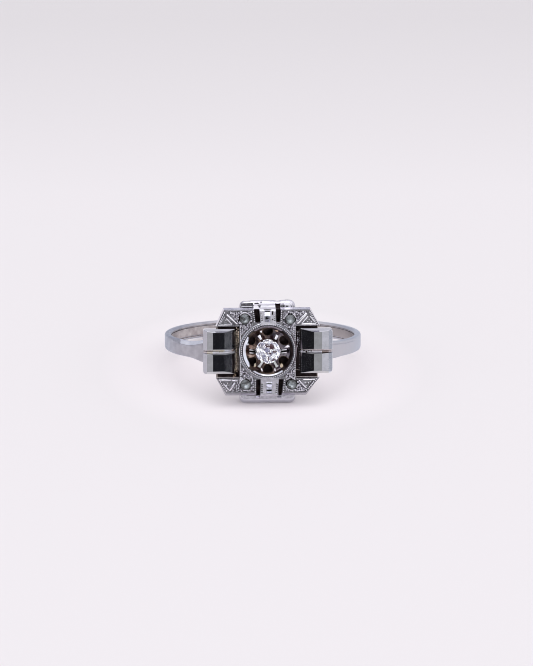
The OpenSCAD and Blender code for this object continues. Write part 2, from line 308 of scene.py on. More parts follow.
def metalLook(name, look):
    material, tree, surface = blank(name)
    colour, patch, patchScale, rough, grainScale, bumpStrength, bumpDepth = look
    extra = metalExtras.get(name, {})
    share = spread(tree, noise(tree, ringCoords(tree), patchScale, 4, 0.55), 0.36, 0.66)
    tint = blendColours(tree, share, patch, colour)
    if "right" in extra:  # the right side is painted in its own tone: painted light on the satin hoop, painted shade inside the hoop, a painted grey-purple reflection in the bowl
        apart = addNode(tree, "SeparateXYZ", {0: ringCoords(tree)})
        side = spread(tree, apart.outputs["X"], *extra["paintedSideRange"])
        tint = blendColours(tree, side, tint, extra["right"])
        fill(tree, surface, {"Specular Tint": extra["aslant"]})
    grain = noise(tree, ringCoords(tree, extra.get("stretch", (1, 1, 1))), grainScale, 5, 0.65)
    height = grain
    if "cellScale" in extra:  # small cut facets, each catching the light its own way
        height = cells(tree, extra["cellScale"]).outputs["Distance"]
    bump = addNode(tree, "Bump", {"Strength": bumpStrength, "Distance": bumpDepth * 0.001, "Height": height})
    fill(tree, surface, {"Base Color": tint, "Metallic": 1, "Normal": bump.outputs["Normal"],
                         "Roughness": spread(tree, grain, 0.3, 0.7, *rough)})
    return material


# tones and finishes of the metal, place by place: colour, colour of its patches, scale of the patches,
# lowest and highest roughness, scale of the grain, strength of the bumps, their depth in millimetres
metalLooks = {
    "satin hoop": ((0.52, 0.51, 0.55), (0.42, 0.41, 0.45), 1.6, (0.28, 0.4), 3.2, 0.25, 0.01),
    "painted hoop highlight": ((0.94, 0.95, 1.0), (0.86, 0.87, 0.93), 1.6, (0.1, 0.2), 3, 0.1, 0.005),
    "inner hoop": ((0.66, 0.63, 0.62), (0.44, 0.4, 0.4), 1.2, (0.3, 0.45), 3, 0.2, 0.01),
    "polished bars": ((0.76, 0.77, 0.79), (0.66, 0.67, 0.68), 1.4, (0.04, 0.08), 5, 0.05, 0.001),
    "plate gold": ((0.7, 0.7, 0.74), (0.38, 0.37, 0.4), 2.4, (0.14, 0.26), 6, 0.6, 0.025),
    "painted dimmer metal": ((0.54, 0.54, 0.59), (0.5, 0.5, 0.55), 2, (0.1, 0.16), 5, 0.1, 0.01),
    "soft cut": ((0.9, 0.89, 0.94), (0.7, 0.69, 0.74), 4, (0.12, 0.24), 6, 0.5, 0.02),
    "low rim": ((0.66, 0.67, 0.74), (0.58, 0.59, 0.65), 2, (0.08, 0.14), 4, 0.1, 0.005),
    "brushed bar": ((0.86, 0.89, 0.92), (0.72, 0.75, 0.78), 1.6, (0.07, 0.11), 5, 0.05, 0.001),
    "bar rims": ((0.86, 0.9, 0.96), (0.8, 0.84, 0.9), 2, (0.1, 0.16), 5, 0.1, 0.01),
    "olive rail": ((0.62, 0.57, 0.46), (0.4, 0.36, 0.28), 3, (0.3, 0.45), 6, 0.5, 0.02),
    "rose rail": ((0.74, 0.69, 0.7), (0.54, 0.48, 0.49), 3, (0.3, 0.45), 6, 0.5, 0.02),
    "brown rail": ((0.42, 0.35, 0.32), (0.24, 0.19, 0.17), 3, (0.3, 0.45), 6, 0.5, 0.02),
    "rim cut": ((0.84, 0.86, 0.93), (0.76, 0.78, 0.85), 2, (0.06, 0.12), 4, 0.1, 0.005),
    "grain gold": ((0.84, 0.84, 0.89), (0.52, 0.51, 0.56), 3, (0.06, 0.14), 8, 0.1, 0.01),
    "web gold": ((0.4, 0.36, 0.32), (0.1, 0.08, 0.07), 3.5, (0.2, 0.35), 6, 0.6, 0.03),
    "painted hollow dark": ((0.12, 0.085, 0.08), (0.04, 0.03, 0.03), 2, (0.3, 0.5), 5, 0.3, 0.02),
    "painted window shade": ((0.4, 0.29, 0.2), (0.08, 0.05, 0.04), 2, (0.1, 0.2), 5, 0.1, 0.01),
    "painted dim prongs": ((0.66, 0.7, 0.69), (0.5, 0.53, 0.52), 2, (0.1, 0.2), 5, 0.1, 0.01),
    "painted dim wall": ((0.62, 0.61, 0.67), (0.46, 0.44, 0.5), 2, (0.18, 0.3), 5, 0.3, 0.01),
    "painted dark edge": ((0.38, 0.37, 0.41), (0.24, 0.23, 0.26), 2, (0.18, 0.3), 5, 0.3, 0.01),
    "wall gold": ((0.92, 0.91, 0.97), (0.62, 0.6, 0.67), 2, (0.18, 0.3), 5, 0.3, 0.01),
    "grained gold": ((0.64, 0.63, 0.67), (0.1, 0.09, 0.1), 4.5, (0.08, 0.16), 8, 1.0, 0.12),
    "bead gold": ((0.96, 0.96, 1.0), (0.8, 0.79, 0.84), 3, (0.05, 0.12), 8, 0.1, 0.01),
    "block gold": ((0.68, 0.68, 0.71), (0.56, 0.56, 0.59), 1.5, (0.18, 0.28), 4, 0.2, 0.01),
    "bright cut": ((0.97, 0.97, 1.0), (0.9, 0.9, 0.94), 2, (0.06, 0.12), 4, 0.1, 0.005),
    "rim top": ((0.4, 0.35, 0.38), (0.2, 0.17, 0.19), 2, (0.12, 0.2), 4, 0.1, 0.005),
    "painted beige reflection": ((0.72, 0.56, 0.46), (0.34, 0.22, 0.17), 3, (0.14, 0.24), 4, 0.2, 0.01),
    "bright facet": ((0.98, 0.97, 0.99), (0.8, 0.76, 0.8), 2.4, (0.14, 0.24), 4, 0.2, 0.01),
    "bowl gold": ((0.4, 0.28, 0.23), (0.06, 0.04, 0.04), 1.6, (0.06, 0.16), 4, 0.15, 0.01),
    "painted warm glint": ((1.0, 0.88, 0.7), (0.36, 0.28, 0.2), 2.2, (0.16, 0.28), 6, 0.4, 0.02),
    "rail gold": ((0.98, 0.95, 0.88), (0.8, 0.72, 0.6), 2.6, (0.3, 0.45), 6, 0.6, 0.03),
    "strip gold": ((0.92, 0.92, 0.97), (0.76, 0.76, 0.8), 2.6, (0.34, 0.5), 6, 0.6, 0.03),
    "low strip": ((0.82, 0.81, 0.87), (0.54, 0.53, 0.58), 3.4, (0.3, 0.45), 7, 0.8, 0.05),
    "shadow gold": ((0.12, 0.09, 0.07), (0.02, 0.015, 0.015), 1.6, (0.25, 0.4), 5, 0.3, 0.02),
    "trench gold": ((0.16, 0.155, 0.175), (0.05, 0.045, 0.05), 3, (0.2, 0.35), 5, 0.3, 0.02),
    "dark recess": ((0.04, 0.03, 0.03), (0.015, 0.01, 0.01), 2, (0.35, 0.6), 5, 0.3, 0.02)}
# painted tone of the right side (painted light or painted shade) and where it sets in, tone seen aslant,
# stretch of the grain, scale of cut facets
metalExtras = {
    "satin hoop": {"right": (0.57, 0.565, 0.605), "paintedSideRange": (-5, 7), "aslant": (0.84, 0.92, 1.0),
                   "stretch": (2.2, 0.5, 2.2)},
    "inner hoop": {"right": (0.46, 0.43, 0.43), "paintedSideRange": (-5, 7), "aslant": (1, 1, 1)},
    "bowl gold": {"right": (0.28, 0.25, 0.28), "paintedSideRange": (-0.5, 1.4), "aslant": (1, 1, 1)},
    "polished bars": {"stretch": (1, 0.4, 1)},
    "brushed bar": {"stretch": (1, 0.4, 1)},
    "block gold": {"stretch": (0.5, 2, 1)},
    "grained gold": {"cellScale": 6.5}}
metal = {name: metalLook(name, look) for name, look in metalLooks.items()}


def crownLook(name, look):  # clear top half of a stone
    material, tree, surface = blank(name)
    colour, rough, ior, clear = look
    fill(tree, surface, {"Base Color": colour, "Roughness": rough, "IOR": ior, "Transmission Weight": clear})
    return material


def pavilionLook(name, look):  # inner facets, painted with flashes and dark patches standing in for their reflections, and glowing: painted light
    material, tree, surface = blank(name)
    colour, dark, paintedFlash, (paintedDarkShare, paintedFlashShare), cellScale, rough, glow = look
    apart = addNode(tree, "SeparateColor", {"Color": cells(tree, cellScale).outputs["Color"]})
    lit = spread(tree, apart.outputs["Red"], paintedDarkShare - 0.01, paintedDarkShare + 0.01)
    bright = spread(tree, apart.outputs["Green"], 0.75 - paintedFlashShare, 1.1 - paintedFlashShare)
    tint = blendColours(tree, lit, dark, blendColours(tree, bright, colour, paintedFlash))
    # the glow is painted light
    fill(tree, surface, {"Base Color": tint, "Emission Color": tint, "Emission Strength": glow,
                         "Metallic": 1, "Roughness": rough})
    return material


# crown: colour, roughness, refraction, clearness
# pavilion: colour, colour of the painted dark reflections, colour of the painted flashes, shares of the dark
# and of the flashes, scale of the facets, roughness, glow that is painted light
stoneLooks = {
    "centre": (((1, 1, 1), 0.0, 1.45, 1.0),
               ((0.26, 0.26, 0.34), (0.07, 0.035, 0.045), (0.98, 0.99, 1.0), (0.2, 0.42), 5.2, 0.03, 0.6)),
    "corner": (((0.86, 0.88, 0.9), 0.03, 1.4, 0.95),
               ((0.34, 0.36, 0.37), (0.08, 0.08, 0.08), (0.6, 0.64, 0.65), (0.22, 0.28), 3.2, 0.16, 0.12)),
    "pale square": (((0.95, 0.96, 1.0), 0.02, 1.25, 1.0),
                    ((0.95, 0.96, 1.0), (0.1, 0.1, 0.1), (0.7, 0.7, 0.76), (0.0, 0.3), 5, 0.1, 0.8)),
    "soft square": (((0.95, 0.96, 1.0), 0.02, 1.25, 1.0),
                    ((0.44, 0.44, 0.5), (0.1, 0.1, 0.1), (0.6, 0.6, 0.66), (0.0, 0.3), 5, 0.1, 0.45)),
    "grey square": (((0.95, 0.96, 1.0), 0.02, 1.25, 1.0),
                    ((0.3, 0.3, 0.36), (0.1, 0.1, 0.1), (0.5, 0.5, 0.56), (0.2, 0.3), 5, 0.1, 0.35)),
    "dark square": (((0.3, 0.3, 0.32), 0.02, 1.25, 1.0),
                    ((0.2, 0.2, 0.22), (0.03, 0.025, 0.03), (0.1, 0.1, 0.1), (1.0, 0.1), 5, 0.2, 0.0))}
stoneSkins = {kind: [crownLook(kind + " crown", crown), pavilionLook(kind + " pavilion", pavilion)]
              for kind, (crown, pavilion) in stoneLooks.items()}
print("ring: materials ready")


# hoop with its two widened shoulders
hoop = {
    "inside": 8.6, "outside": 9.2, "width": 1.45, "left": 2.1, "right": 1.65, "endX": 5.84, "rim": 0.2,
    "innerBevel": 0.18, "line": 0.035, "lineEnd": 8.9, "planed": 0.4, "lensAt": 7.0, "lensHalf": 1.9,
    "brightFrom": -7.9, "brightTo": -5.3, "steps": 220,
    "flare": ((5.8, 1.0), (6.05, 0.94), (6.35, 0.66), (6.75, 0.28), (7.25, 0.0))}


def hoopSection(angle):
    x, front = hoop["outside"] * sin(angle), cos(angle) > 0
    share = between(hoop["flare"], abs(x)) if front else 0.0
    half = (hoop["width"] + (hoop["left" if x < 0 else "right"] - hoop["width"]) * share) / 2
    line = hoop["line"] * front * min(1.0, max(0.0, (hoop["lineEnd"] - abs(x)) / 0.8))
    # the left shoulder's upper edge is planed off in a long lens
    lens = front * (x < 0) * max(0.0, 1 - ((abs(x) - hoop["lensAt"]) / hoop["lensHalf"]) ** 2)
    cutIn = hoop["rim"] + (hoop["planed"] - hoop["rim"]) * lens
    cutDown = hoop["rim"] + 0.12 * lens
    r0, r1, b, rim = hoop["inside"], hoop["outside"], hoop["innerBevel"], hoop["rim"]
    inner = [(b, 0), (0, b), (0, b + 0.05), (0.05, b + 0.08), (0.05, b + 0.14), (0, b + 0.17)]
    points = [(r0 + out, up - half) for out, up in inner]
    points += [(r0 + out, half - up) for out, up in inner[::-1]]
    for k in range(6):  # upper outer edge: round, or flat where it is planed
        bow, flat = polar(1, radians(90 - 18 * k)), (k / 5, 1 - k / 5)
        out, up = [p + (q - p) * lens for p, q in zip(bow, flat)]
        points.append((r1 - cutIn + cutIn * out, half - cutDown + cutDown * up))
    top = half - cutDown
    points += [(r1, top - 0.03), (r1 - line, top - 0.06), (r1 - line, top - 0.1), (r1, top - 0.13)]
    return points + [polar(rim, radians(-18 * k), (r1 - rim, rim - half)) for k in range(6)]


def buildHoop():
    bm = bmesh.new()
    first = asin(hoop["endX"] / hoop["outside"])
    loops = []
    for k in range(hoop["steps"] + 1):
        angle = first + (2 * pi - 2 * first) * k / hoop["steps"]
        out = Vector((sin(angle), 0, cos(angle)))
        loops.append([bm.verts.new((r * out.x, y, r * out.z)) for r, y in hoopSection(angle)])
    bridge(bm, loops)
    bmesh.ops.recalc_face_normals(bm, faces=bm.faces)
    for f, middle in middles(bm):
        above = hypot(middle.x, middle.z) - hoop["inside"]
        upward = f.normal.y > 0.5 and middle.z > 0 and middle.y > 0
        # upward faces of the planed lens on the left shoulder carry a painted highlight
        if hoop["brightFrom"] < middle.x < hoop["brightTo"] and upward and above > 0.2:
            f.material_index = 2
        elif above < 0.04:
            f.material_index = 3 if above > 0.02 else 1
    addMetal("hoop_band", bm, ("satin hoop", "inner hoop", "painted hoop highlight", "shadow gold"), 40)


# block behind the head
block = {
    "width": 5.14, "top": 4.62, "foot": 4.9, "front": 7.0, "back": 5.6, "edge": 0.45, "corner": 0.5,
    "sideEdge": 0.1, "hollow": (4.14, 8.02), "hollowDepth": 1.05,
    # notches behind the slots: y at the start of the upper and lower ones, depth, and the look of each: a
    # painted highlight in the upper left, painted shade in the upper right, bright metal in the lower ones
    "notchFrom": (3.9, -4.18), "notchDepth": 0.2, "notchPaintedTones": (2, 1, 3, 3), "notchShift": 0.04,
    # the upper edge is painted bright above the first of these, a painted highlight; the front is rougher
    # and painted lighter below the second, and its bevel is painted darker below the third
    "brightY": 4.2, "satinPaintedY": -3.4, "paintedDimY": -4.3,
    # marks of the hand-finished upper edge, painted dark inside as shade: from x, to x, from y, to y, depth
    "scratches": ((-2.44, -1.32, 4.2, 4.45, 0.1), (-1.2, -0.8, 4.34, 4.46, 0.14),
                  (-0.62, -0.5, 4.45, 4.5, 0.12)),
    # soldered bump at the right: middle and half sizes
    "bump": ((1.86, 4.0, 6.75), (0.62, 0.63, 0.36)),
    "seams": (((-2.36, 4.12), (-1.42, 4.12), 0.09), ((-1.36, 4.16), (-1.3, 3.96), 0.1)),
    "seamLevels": (6.95, 7.24),
    # swellings of the upper edge: place across, breadth, height
    "swells": ((1.85, 0.42, 0.06), (0.95, 0.22, -0.05), (-1.95, 0.35, -0.04), (-0.2, 0.5, 0.02))}
# slots: sides at the inner end, sides at the outer end, inner end, outer end, end of the notch
slots = {
    "topLeft": ((-1.13, -0.68), (-1.28, -0.8), 2.74, 4.04, 4.3),
    "topRight": ((0.74, 1.09), (0.7, 1.16), 2.76, 4.04, 4.36),
    "bottomLeft": ((-1.08, -0.68), (-1.08, -0.7), -2.5, -4.04, -4.42),
    "bottomRight": ((1.0, 1.42), (0.85, 1.28), -2.5, -4.04, -4.36)}


def slotPair(sy):  # left and right slot of the upper or the lower side
    return [slots[("top" if sy > 0 else "bottom") + side] for side in ("Left", "Right")]


def slotSides(slot, y):
    inner, outer, low, high, notch = slot
    t = (y - low) / (high - low)
    return [a + (b - a) * t for a, b in zip(inner, outer)]


def blockLevels():  # half height and level of each outline, from the front to the back
    e, tilt = block["edge"], radians(resting["tilt"])
    half = (block["top"] + block["foot"]) / 2
    levels = []
    for k in range(11):
        t = radians(90) + (-tilt - radians(90)) * k / 10
        levels.append((half - e + e * cos(t), block["front"] - e + e * sin(t)))
    foot = levels[-1][0] - (levels[-1][1] - block["back"]) * tan(tilt)
    return levels + [(foot + 0.02, block["back"] + 0.08), (foot - 0.06, block["back"])]


def buildBlock():
    bm = bmesh.new()
    front = block["front"]
    shift = (block["top"] - block["foot"]) / 2
    levels = blockLevels()
    loops = []
    for k, (y, z) in enumerate(levels):
        narrow = 2 * block["sideEdge"] * (1 - min(1.0, k / 5)) ** 2
        wide = block["width"] - narrow - (0.12 if k == len(levels) - 1 else 0)
        outline = roundedRect(wide, 2 * y, block["corner"], 7, (0, shift))
        start, stop, top = outline[7][0], outline[8][0], outline[7][1]
        outline[8:8] = [(start + (stop - start) * i / 24, top) for i in range(1, 24)]
        loops.append(loopAt(bm, outline, z))
        for v in (v for v in loops[-1] if v.co.y > 3):
            waves = [rise * exp(-((v.co.x - at) / broad) ** 2) for at, broad, rise in block["swells"]]
            v.co.y += sum(waves)
    for a, b in zip(loops, loops[1:]):
        skin(bm, a, b)
    cover(bm, [loops[-1]])
    # the hollow behind the front is painted dark brown: painted shade
    mouth = sink(bm, roundedRect(*block["hollow"], 0.25, 3, (0, shift)), front, block["hollowDepth"], 5)
    cover(bm, [loops[0], mouth])
    for f, middle in middles(bm):
        # painted highlight on the upper edge, painted light on the lower front, painted shade on its bevel
        if middle.y > block["brightY"] and middle.z > front - 0.3:
            f.material_index = 6
        if middle.y < block["satinPaintedY"] and middle.z > front - 0.001:
            f.material_index = 8
        elif middle.y < block["paintedDimY"] and middle.z > front - 0.16:
            f.material_index = 7
    cutter = bmesh.new()
    marks = []
    for slot, tone in zip(slots.values(), block["notchPaintedTones"]):  # shallow notches in which the slots end
        y0, y1 = block["notchFrom"][0 if slot[4] > 0 else 1], slot[4]
        (a, b), (c, d) = slotSides(slot, y0), slotSides(slot, y1)
        if y0 < 0:
            a = c = a + block["notchShift"]
            d = b
        outline = [(a, y0), (b, y0), (d, y1 * 0.985), (d - 0.08, y1), (c + 0.08, y1), (c, y1 * 0.985)]
        prism(cutter, outline, front, front + 0.3)
        cutter.verts.ensure_lookup_table()
        for v in cutter.verts[-12:-6]:  # the bed falls towards the upper ends, rises towards the lower
            share = (v.co.y - y1) / (y0 - y1)
            v.co.z -= block["notchDepth"] * (1 - share if y0 > 0 else share) + 0.05
        marks.append((min(a, c), max(b, d), min(y0, y1), max(y0, y1), tone))
    for x0, x1, y0, y1, depth in block["scratches"]:
        box(cutter, (x0, y0, front - depth), (x1, y1, front + 0.2))
        marks.append((x0, x1, y0, y1, 4))
    bm = carved(bm, cutter)
    for f, p in middles(bm):
        for x0, x1, y0, y1, tone in marks:
            near = x0 - 0.01 < p.x < x1 + 0.01 and y0 - 0.01 < p.y < y1 + 0.01
            if near and block["notchDepth"] + 0.06 > front - p.z > 0.004:
                f.material_index = tone
    middle, sizes = block["bump"]
    place = Matrix.Translation(middle) @ Matrix.Diagonal((*sizes, 1))
    made = bmesh.ops.create_icosphere(bm, subdivisions=3, radius=1, matrix=place)
    for f in {f for v in made["verts"] for f in v.link_faces}:
        f.material_index = 3
    for a, b, width in block["seams"]:
        ridge(bm, a, b, width, *block["seamLevels"], 3)
    looks = ("block gold", "dark recess", "bright cut", "bead gold", "painted dark edge", "painted hollow dark",
             "wall gold", "painted dimmer metal", "low strip")
    addMetal("gallery_block", bm, looks, 30)


# plate with its eight points, side notches, slots and sunk fields
plate = {
    "back": 7.2, "edge": 0.014, "fieldDepth": 0.08, "panelDepth": 0.12, "left": (-4.02, -3.84),
    "right": (3.84, 3.5), "top": 3.9, "bottom": -3.76, "point": (4.7, 2.41), "waist": (-2.6, 2.53),
    "backTop": 4.05, "backBottom": -4.08, "cornerSpread": 0.08, "edgeBand": 0.24, "cupHole": 2.5,
    "stoneAt": ((-2.14, 3.13), (2.02, 3.03), (-2.06, -2.98), (2.17, -2.99)), "stoneSeat": 0.52,
    "seatDepth": 0.37, "wellSize": (0.68, 1.24), "wellDepth": 0.5, "slope": 0.035,
    # a grained field: gaps to the slot, the outer edge and the waist, arc round the cup, heights, outer side
    "fieldGaps": (0.2, 0.12, 0.09), "fieldArc": (2.74, (60, 54, 45, 36, 28)), "fieldHeights": (1.5, 2.36),
    "fieldSide": 3.56, "triangle": ((2.78, 2.52), (4.3, 2.52), (3.7, 3.5)), "triangleShrink": 0.8}


def plateOutline(sideOut, top, bottom):  # the side notches stay, the other walls move out
    px, py = plate["point"]
    px += sideOut * 1.18
    corner = sideOut * 0.55

    def notch(name, edge):  # walls of a slot, from left to right
        inner, outer, low = slots[name][:3]
        return [(outer[0], edge), (inner[0], low), (inner[1], low), (outer[1], edge)]
    lower = (notch("bottomLeft", bottom) + notch("bottomRight", bottom))[::-1]
    points = notch("topRight", top) + [
        (plate["right"][0] + corner, top), (px, py), (plate["waist"][1], py), (plate["waist"][1], -py),
        (px, -py), (plate["right"][1] + corner, bottom)] + lower + [
        (plate["left"][1] - corner, bottom), (-px, -py), (plate["waist"][0], -py), (plate["waist"][0], py),
        (-px, py), (plate["left"][0] - corner, top)] + notch("topLeft", top)
    return points[::-1]


def quadrants():
    return zip((-1, 1, -1, 1), (1, 1, -1, -1), plate["stoneAt"])


def mirrored(points, sx, sy):  # an outline of the upper right, moved to another quadrant
    points = [(sx * x, sy * y) for x, y in points]
    return points if sx * sy > 0 else points[::-1]


def fieldOutline(sx, sy):  # grained field between slot, cup, corner triangle and outer edge
    slot = slotPair(sy)[0 if sx < 0 else 1]
    slotGap, edgeGap, waistGap = plate["fieldGaps"]
    low, high = plate["fieldHeights"]
    reach, turns = plate["fieldArc"]
    far = (plate["top"] if sy > 0 else -plate["bottom"]) - edgeGap
    inner = max(abs(x) for x in slot[0] + slot[1]) + slotGap
    waist = (plate["waist"][1] if sx > 0 else -plate["waist"][0]) - waistGap
    lift = cup["lift"] * sy
    points = [(inner, far), (inner, high + lift)]
    points += [polar(reach, radians(turn), (0, lift)) for turn in turns]
    points += [(waist, low), (waist, high), (plate["fieldSide"], far - 0.16), (plate["fieldSide"], far)]
    return mirrored(points, sx, sy)


def beadRows():  # two ends, bead radius and pitch of each straight row of beads on the plate
    px, py = plate["point"]
    for name, slot in slots.items():
        sy, side = (1 if slot[2] > 0 else -1), (0 if name.endswith("Left") else 1)
        end = (plate["top"] if sy > 0 else plate["bottom"]) - 0.12 * sy
        out = -0.095 if side == 0 else 0.095
        a, b = [Vector((slotSides(slot, y)[side] + out, y)) for y in (slot[2] + 0.1 * sy, end)]
        yield a, b, grains["slot"], grains["slotPitch"]
    for k, y in enumerate((plate["top"], plate["bottom"])):
        for sx, sides in ((-1, plate["left"]), (1, plate["right"])):
            tip, corner = Vector((sx * px, py if y > 0 else -py)), Vector((sides[k], y))
            run = (corner - tip).normalized()
            side = Vector((-run.y, run.x)) * 0.12
            side = side if side.x * sx < 0 else -side
            yield tip + run * 0.22 + side, corner - run * 0.2 + side, grains["corner"], grains["cornerPitch"]


def triangleOutline(sx, sy):
    corners = [Vector(c) for c in plate["triangle"]]
    middle = sum(corners, Vector((0, 0))) / 3
    return mirrored([middle + (c - middle) * plate["triangleShrink"] for c in corners], sx, sy)


def recess(bm, outline, depth, look):  # pit with sloping walls, gives its rim and its bed
    rim = loopAt(bm, outline, faceLevel)
    bed = loopAt(bm, grow(outline, -plate["slope"]), faceLevel - depth)
    skin(bm, rim, bed, look)
    return rim, bed


def buildPlate():
    bm = bmesh.new()
    edge, top, bottom = plate["edge"], plate["top"], plate["bottom"]
    outer = [loopAt(bm, grow(plateOutline(0, top, bottom), -edge), faceLevel)]
    for share in (0, plate["edgeBand"], 1):
        outline = plateOutline(plate["cornerSpread"] * share, top + (plate["backTop"] - top) * share,
                               bottom + (plate["backBottom"] - bottom) * share)
        level = faceLevel - edge
        outer.append(loopAt(bm, outline, level + (plate["back"] - level) * share))
    # the face's edge and the top of the walls are painted dark: a painted dark reflection
    for a, b, look in zip(outer, outer[1:], (4, 4, 1)):
        skin(bm, a, b, look)
    for f, middle in middles(bm):  # the lower wall is painted darker, painted shade, and the waist's walls are painted dark where they lie in shadow
        if f.material_index == 1 and middle.y < -3:
            f.material_index = 5
        if abs(middle.y) < 0.5 and middle.z < faceLevel - 0.02:
            f.material_index = 3
    levels = (faceLevel, plate["back"])
    mouth, behind = [ringAt(bm, plate["cupHole"], 64, z, (0, cup["lift"])) for z in levels]
    skin(bm, mouth, behind, 1)
    holes = [mouth]
    for sx, sy, spot in quadrants():
        rim, bed = recess(bm, fieldOutline(sx, sy), plate["fieldDepth"], 2)
        holes.append(rim)
        # the stone seats are painted dark inside: painted shade
        seat = sink(bm, circlePoints(plate["stoneSeat"], 28, spot), faceLevel - plate["fieldDepth"],
                    plate["seatDepth"], 3)
        cover(bm, [bed, seat], 2)
        rim, bed = recess(bm, triangleOutline(sx, sy), plate["panelDepth"], 2)
        cover(bm, [bed], 0)
        holes.append(rim)
    # the bead rows stand in trenches painted dark as shade
    for a, b, size, pitch in beadRows():
        run = (b - a).normalized() * size
        holes.append(sink(bm, lineOutline(a - run, b + run, 2.3 * size), faceLevel, grains["trench"], 6))
    # the wells for the square stones are painted dark: painted shade
    for sy, rows in strips["stoneRows"].items():  # wells for the square stones
        well = roundedRect(*plate["wellSize"], 0.03, 2, (strips["stoneX"][sy], sy * sum(rows) / 2))
        rim, bed = recess(bm, well, plate["wellDepth"], 3)
        cover(bm, [bed], 3)
        holes.append(rim)
    cover(bm, [outer[0]] + holes, 0)
    cover(bm, [outer[-1], behind], 1)
    looks = ("plate gold", "wall gold", "grained gold", "dark recess", "painted dark edge", "painted dim wall",
             "trench gold")
    addMetal("head_plate", bm, looks, 20)


engraving = {
    "rise": 0.09, "foot": 0.14,
    # bars of the four corner triangles: two ends in millimetres from the plate's middle, and a width
    "bars": (((-3.76, 3.5), (-2.84, 2.66), 0.17), ((-3.82, 3.16), (-3.3, 2.62), 0.11),
             ((-4.46, 2.56), (-3.34, 2.56), 0.1), ((-4.42, 2.66), (-3.96, 3.3), 0.07),
             ((2.72, 2.7), (3.5, 3.54), 0.26), ((3.1, 2.66), (3.66, 3.3), 0.12),
             ((3.1, 2.6), (4.36, 2.6), 0.2), ((4.3, 2.78), (3.86, 3.3), 0.12),
             ((-4.44, -2.56), (-3.44, -2.56), 0.2), ((-3.06, -2.82), (-3.52, -3.5), 0.22),
             ((-4.08, -2.88), (-3.62, -3.42), 0.14), ((-2.8, -2.62), (-3.3, -2.6), 0.14),
             ((2.86, -2.66), (3.5, -3.3), 0.2), ((3.2, -2.56), (4.3, -2.56), 0.13),
             ((4.2, -2.72), (3.66, -3.42), 0.09), ((2.5, -3.58), (3.4, -3.58), 0.07)),
    # grains between the bars: place and size
    "bits": ((-3.87, 3.02, 0.08), (-4.22, 2.76, 0.07), (-4.0, 2.84, 0.05), (3.78, 3.02, 0.07),
             (3.98, 2.8, 0.08), (3.6, 2.8, 0.06), (4.1, 2.98, 0.05), (-3.72, -2.86, 0.06),
             (-3.84, -3.06, 0.07), (3.4, -2.86, 0.08), (3.72, -2.88, 0.07), (3.5, -3.14, 0.06),
             (3.92, -2.78, 0.06))}


def buildTriangles():
    bm = bmesh.new()
    for a, b, width in engraving["bars"]:
        crest = faceLevel + engraving["rise"] * min(1, width / 0.16)
        ridge(bm, a, b, width, faceLevel - engraving["foot"], crest, 0 if a[1] > 0 else 1)
    for x, y, size in engraving["bits"]:
        beads(bm, [(x, y, faceLevel - 0.07)], size)
    addMetal("corner_triangles", bm, ("bright cut", "soft cut"), 50)


# milgrain along the plate's edges, and the grains of the sunk fields
grains = {
    "slot": 0.07, "slotPitch": 0.19, "corner": 0.075, "cornerPitch": 0.2, "waist": 0.06, "waistPitch": 0.18,
    "waistRows": ((-0.9, -2.3), (1.1, 2.3)), "trench": 0.07, "field": (0.06, 0.13), "perField": 44,
    "tries": 2500,
    # bright cuts beside the four corner stones: from angle, to angle, thickness
    "arcs": (((40, 140, 0.07), (215, 235, 0.08), (320, 335, 0.06)),
             ((20, 60, 0.06), (120, 165, 0.08), (300, 320, 0.08)),
             ((100, 170, 0.06), (250, 290, 0.06), (10, 20, 0.08)),
             ((200, 300, 0.06), (330, 350, 0.08), (60, 80, 0.06)))}


def buildMilgrain():
    bm = bmesh.new()
    rows = list(beadRows())
    for x in (plate["waist"][0] + 0.06, plate["waist"][1] - 0.06):
        for start, stop in grains["waistRows"]:
            rows.append(((x, start), (x, stop), grains["waist"], grains["waistPitch"]))
    for a, b, size, pitch in rows:
        beads(bm, [(p.x, p.y, faceLevel) for p in along(a, b, pitch)], size)
    addMetal("plate_milgrain", bm, ("bead gold",), 60)


def buildGrains():
    bm = bmesh.new()
    for (sx, sy, spot), arcs in zip(quadrants(), grains["arcs"]):
        outline = grow(fieldOutline(sx, sy), -0.06)
        xs, ys = [p[0] for p in outline], [p[1] for p in outline]
        placed = []
        for attempt in range(grains["tries"]):
            x, y = dice.uniform(min(xs), max(xs)), dice.uniform(min(ys), max(ys))
            size = dice.uniform(*grains["field"])
            clear = hypot(x - spot[0], y - spot[1]) > plate["stoneSeat"] + 0.7 * size
            if clear and inside((x, y), outline):
                if all(hypot(x - a, y - b) > 0.85 * (size + c) for a, b, c in placed):
                    placed.append((x, y, size))
            if len(placed) >= grains["perField"]:
                break
        for x, y, size in placed:
            beads(bm, [(x, y, faceLevel - 0.06 + dice.uniform(-0.02, 0.03))], size)
        for start, stop, size in arcs:  # bright cuts pushed over the corner stone
            count = max(2, round((stop - start) / 5))
            for i in range(count + 1):
                turn = radians(start + (stop - start) * i / count)
                beads(bm, [(*polar(plate["stoneSeat"] + 0.02, turn, spot), faceLevel)], size)
    addMetal("field_grains", bm, ("grain gold",), 60)


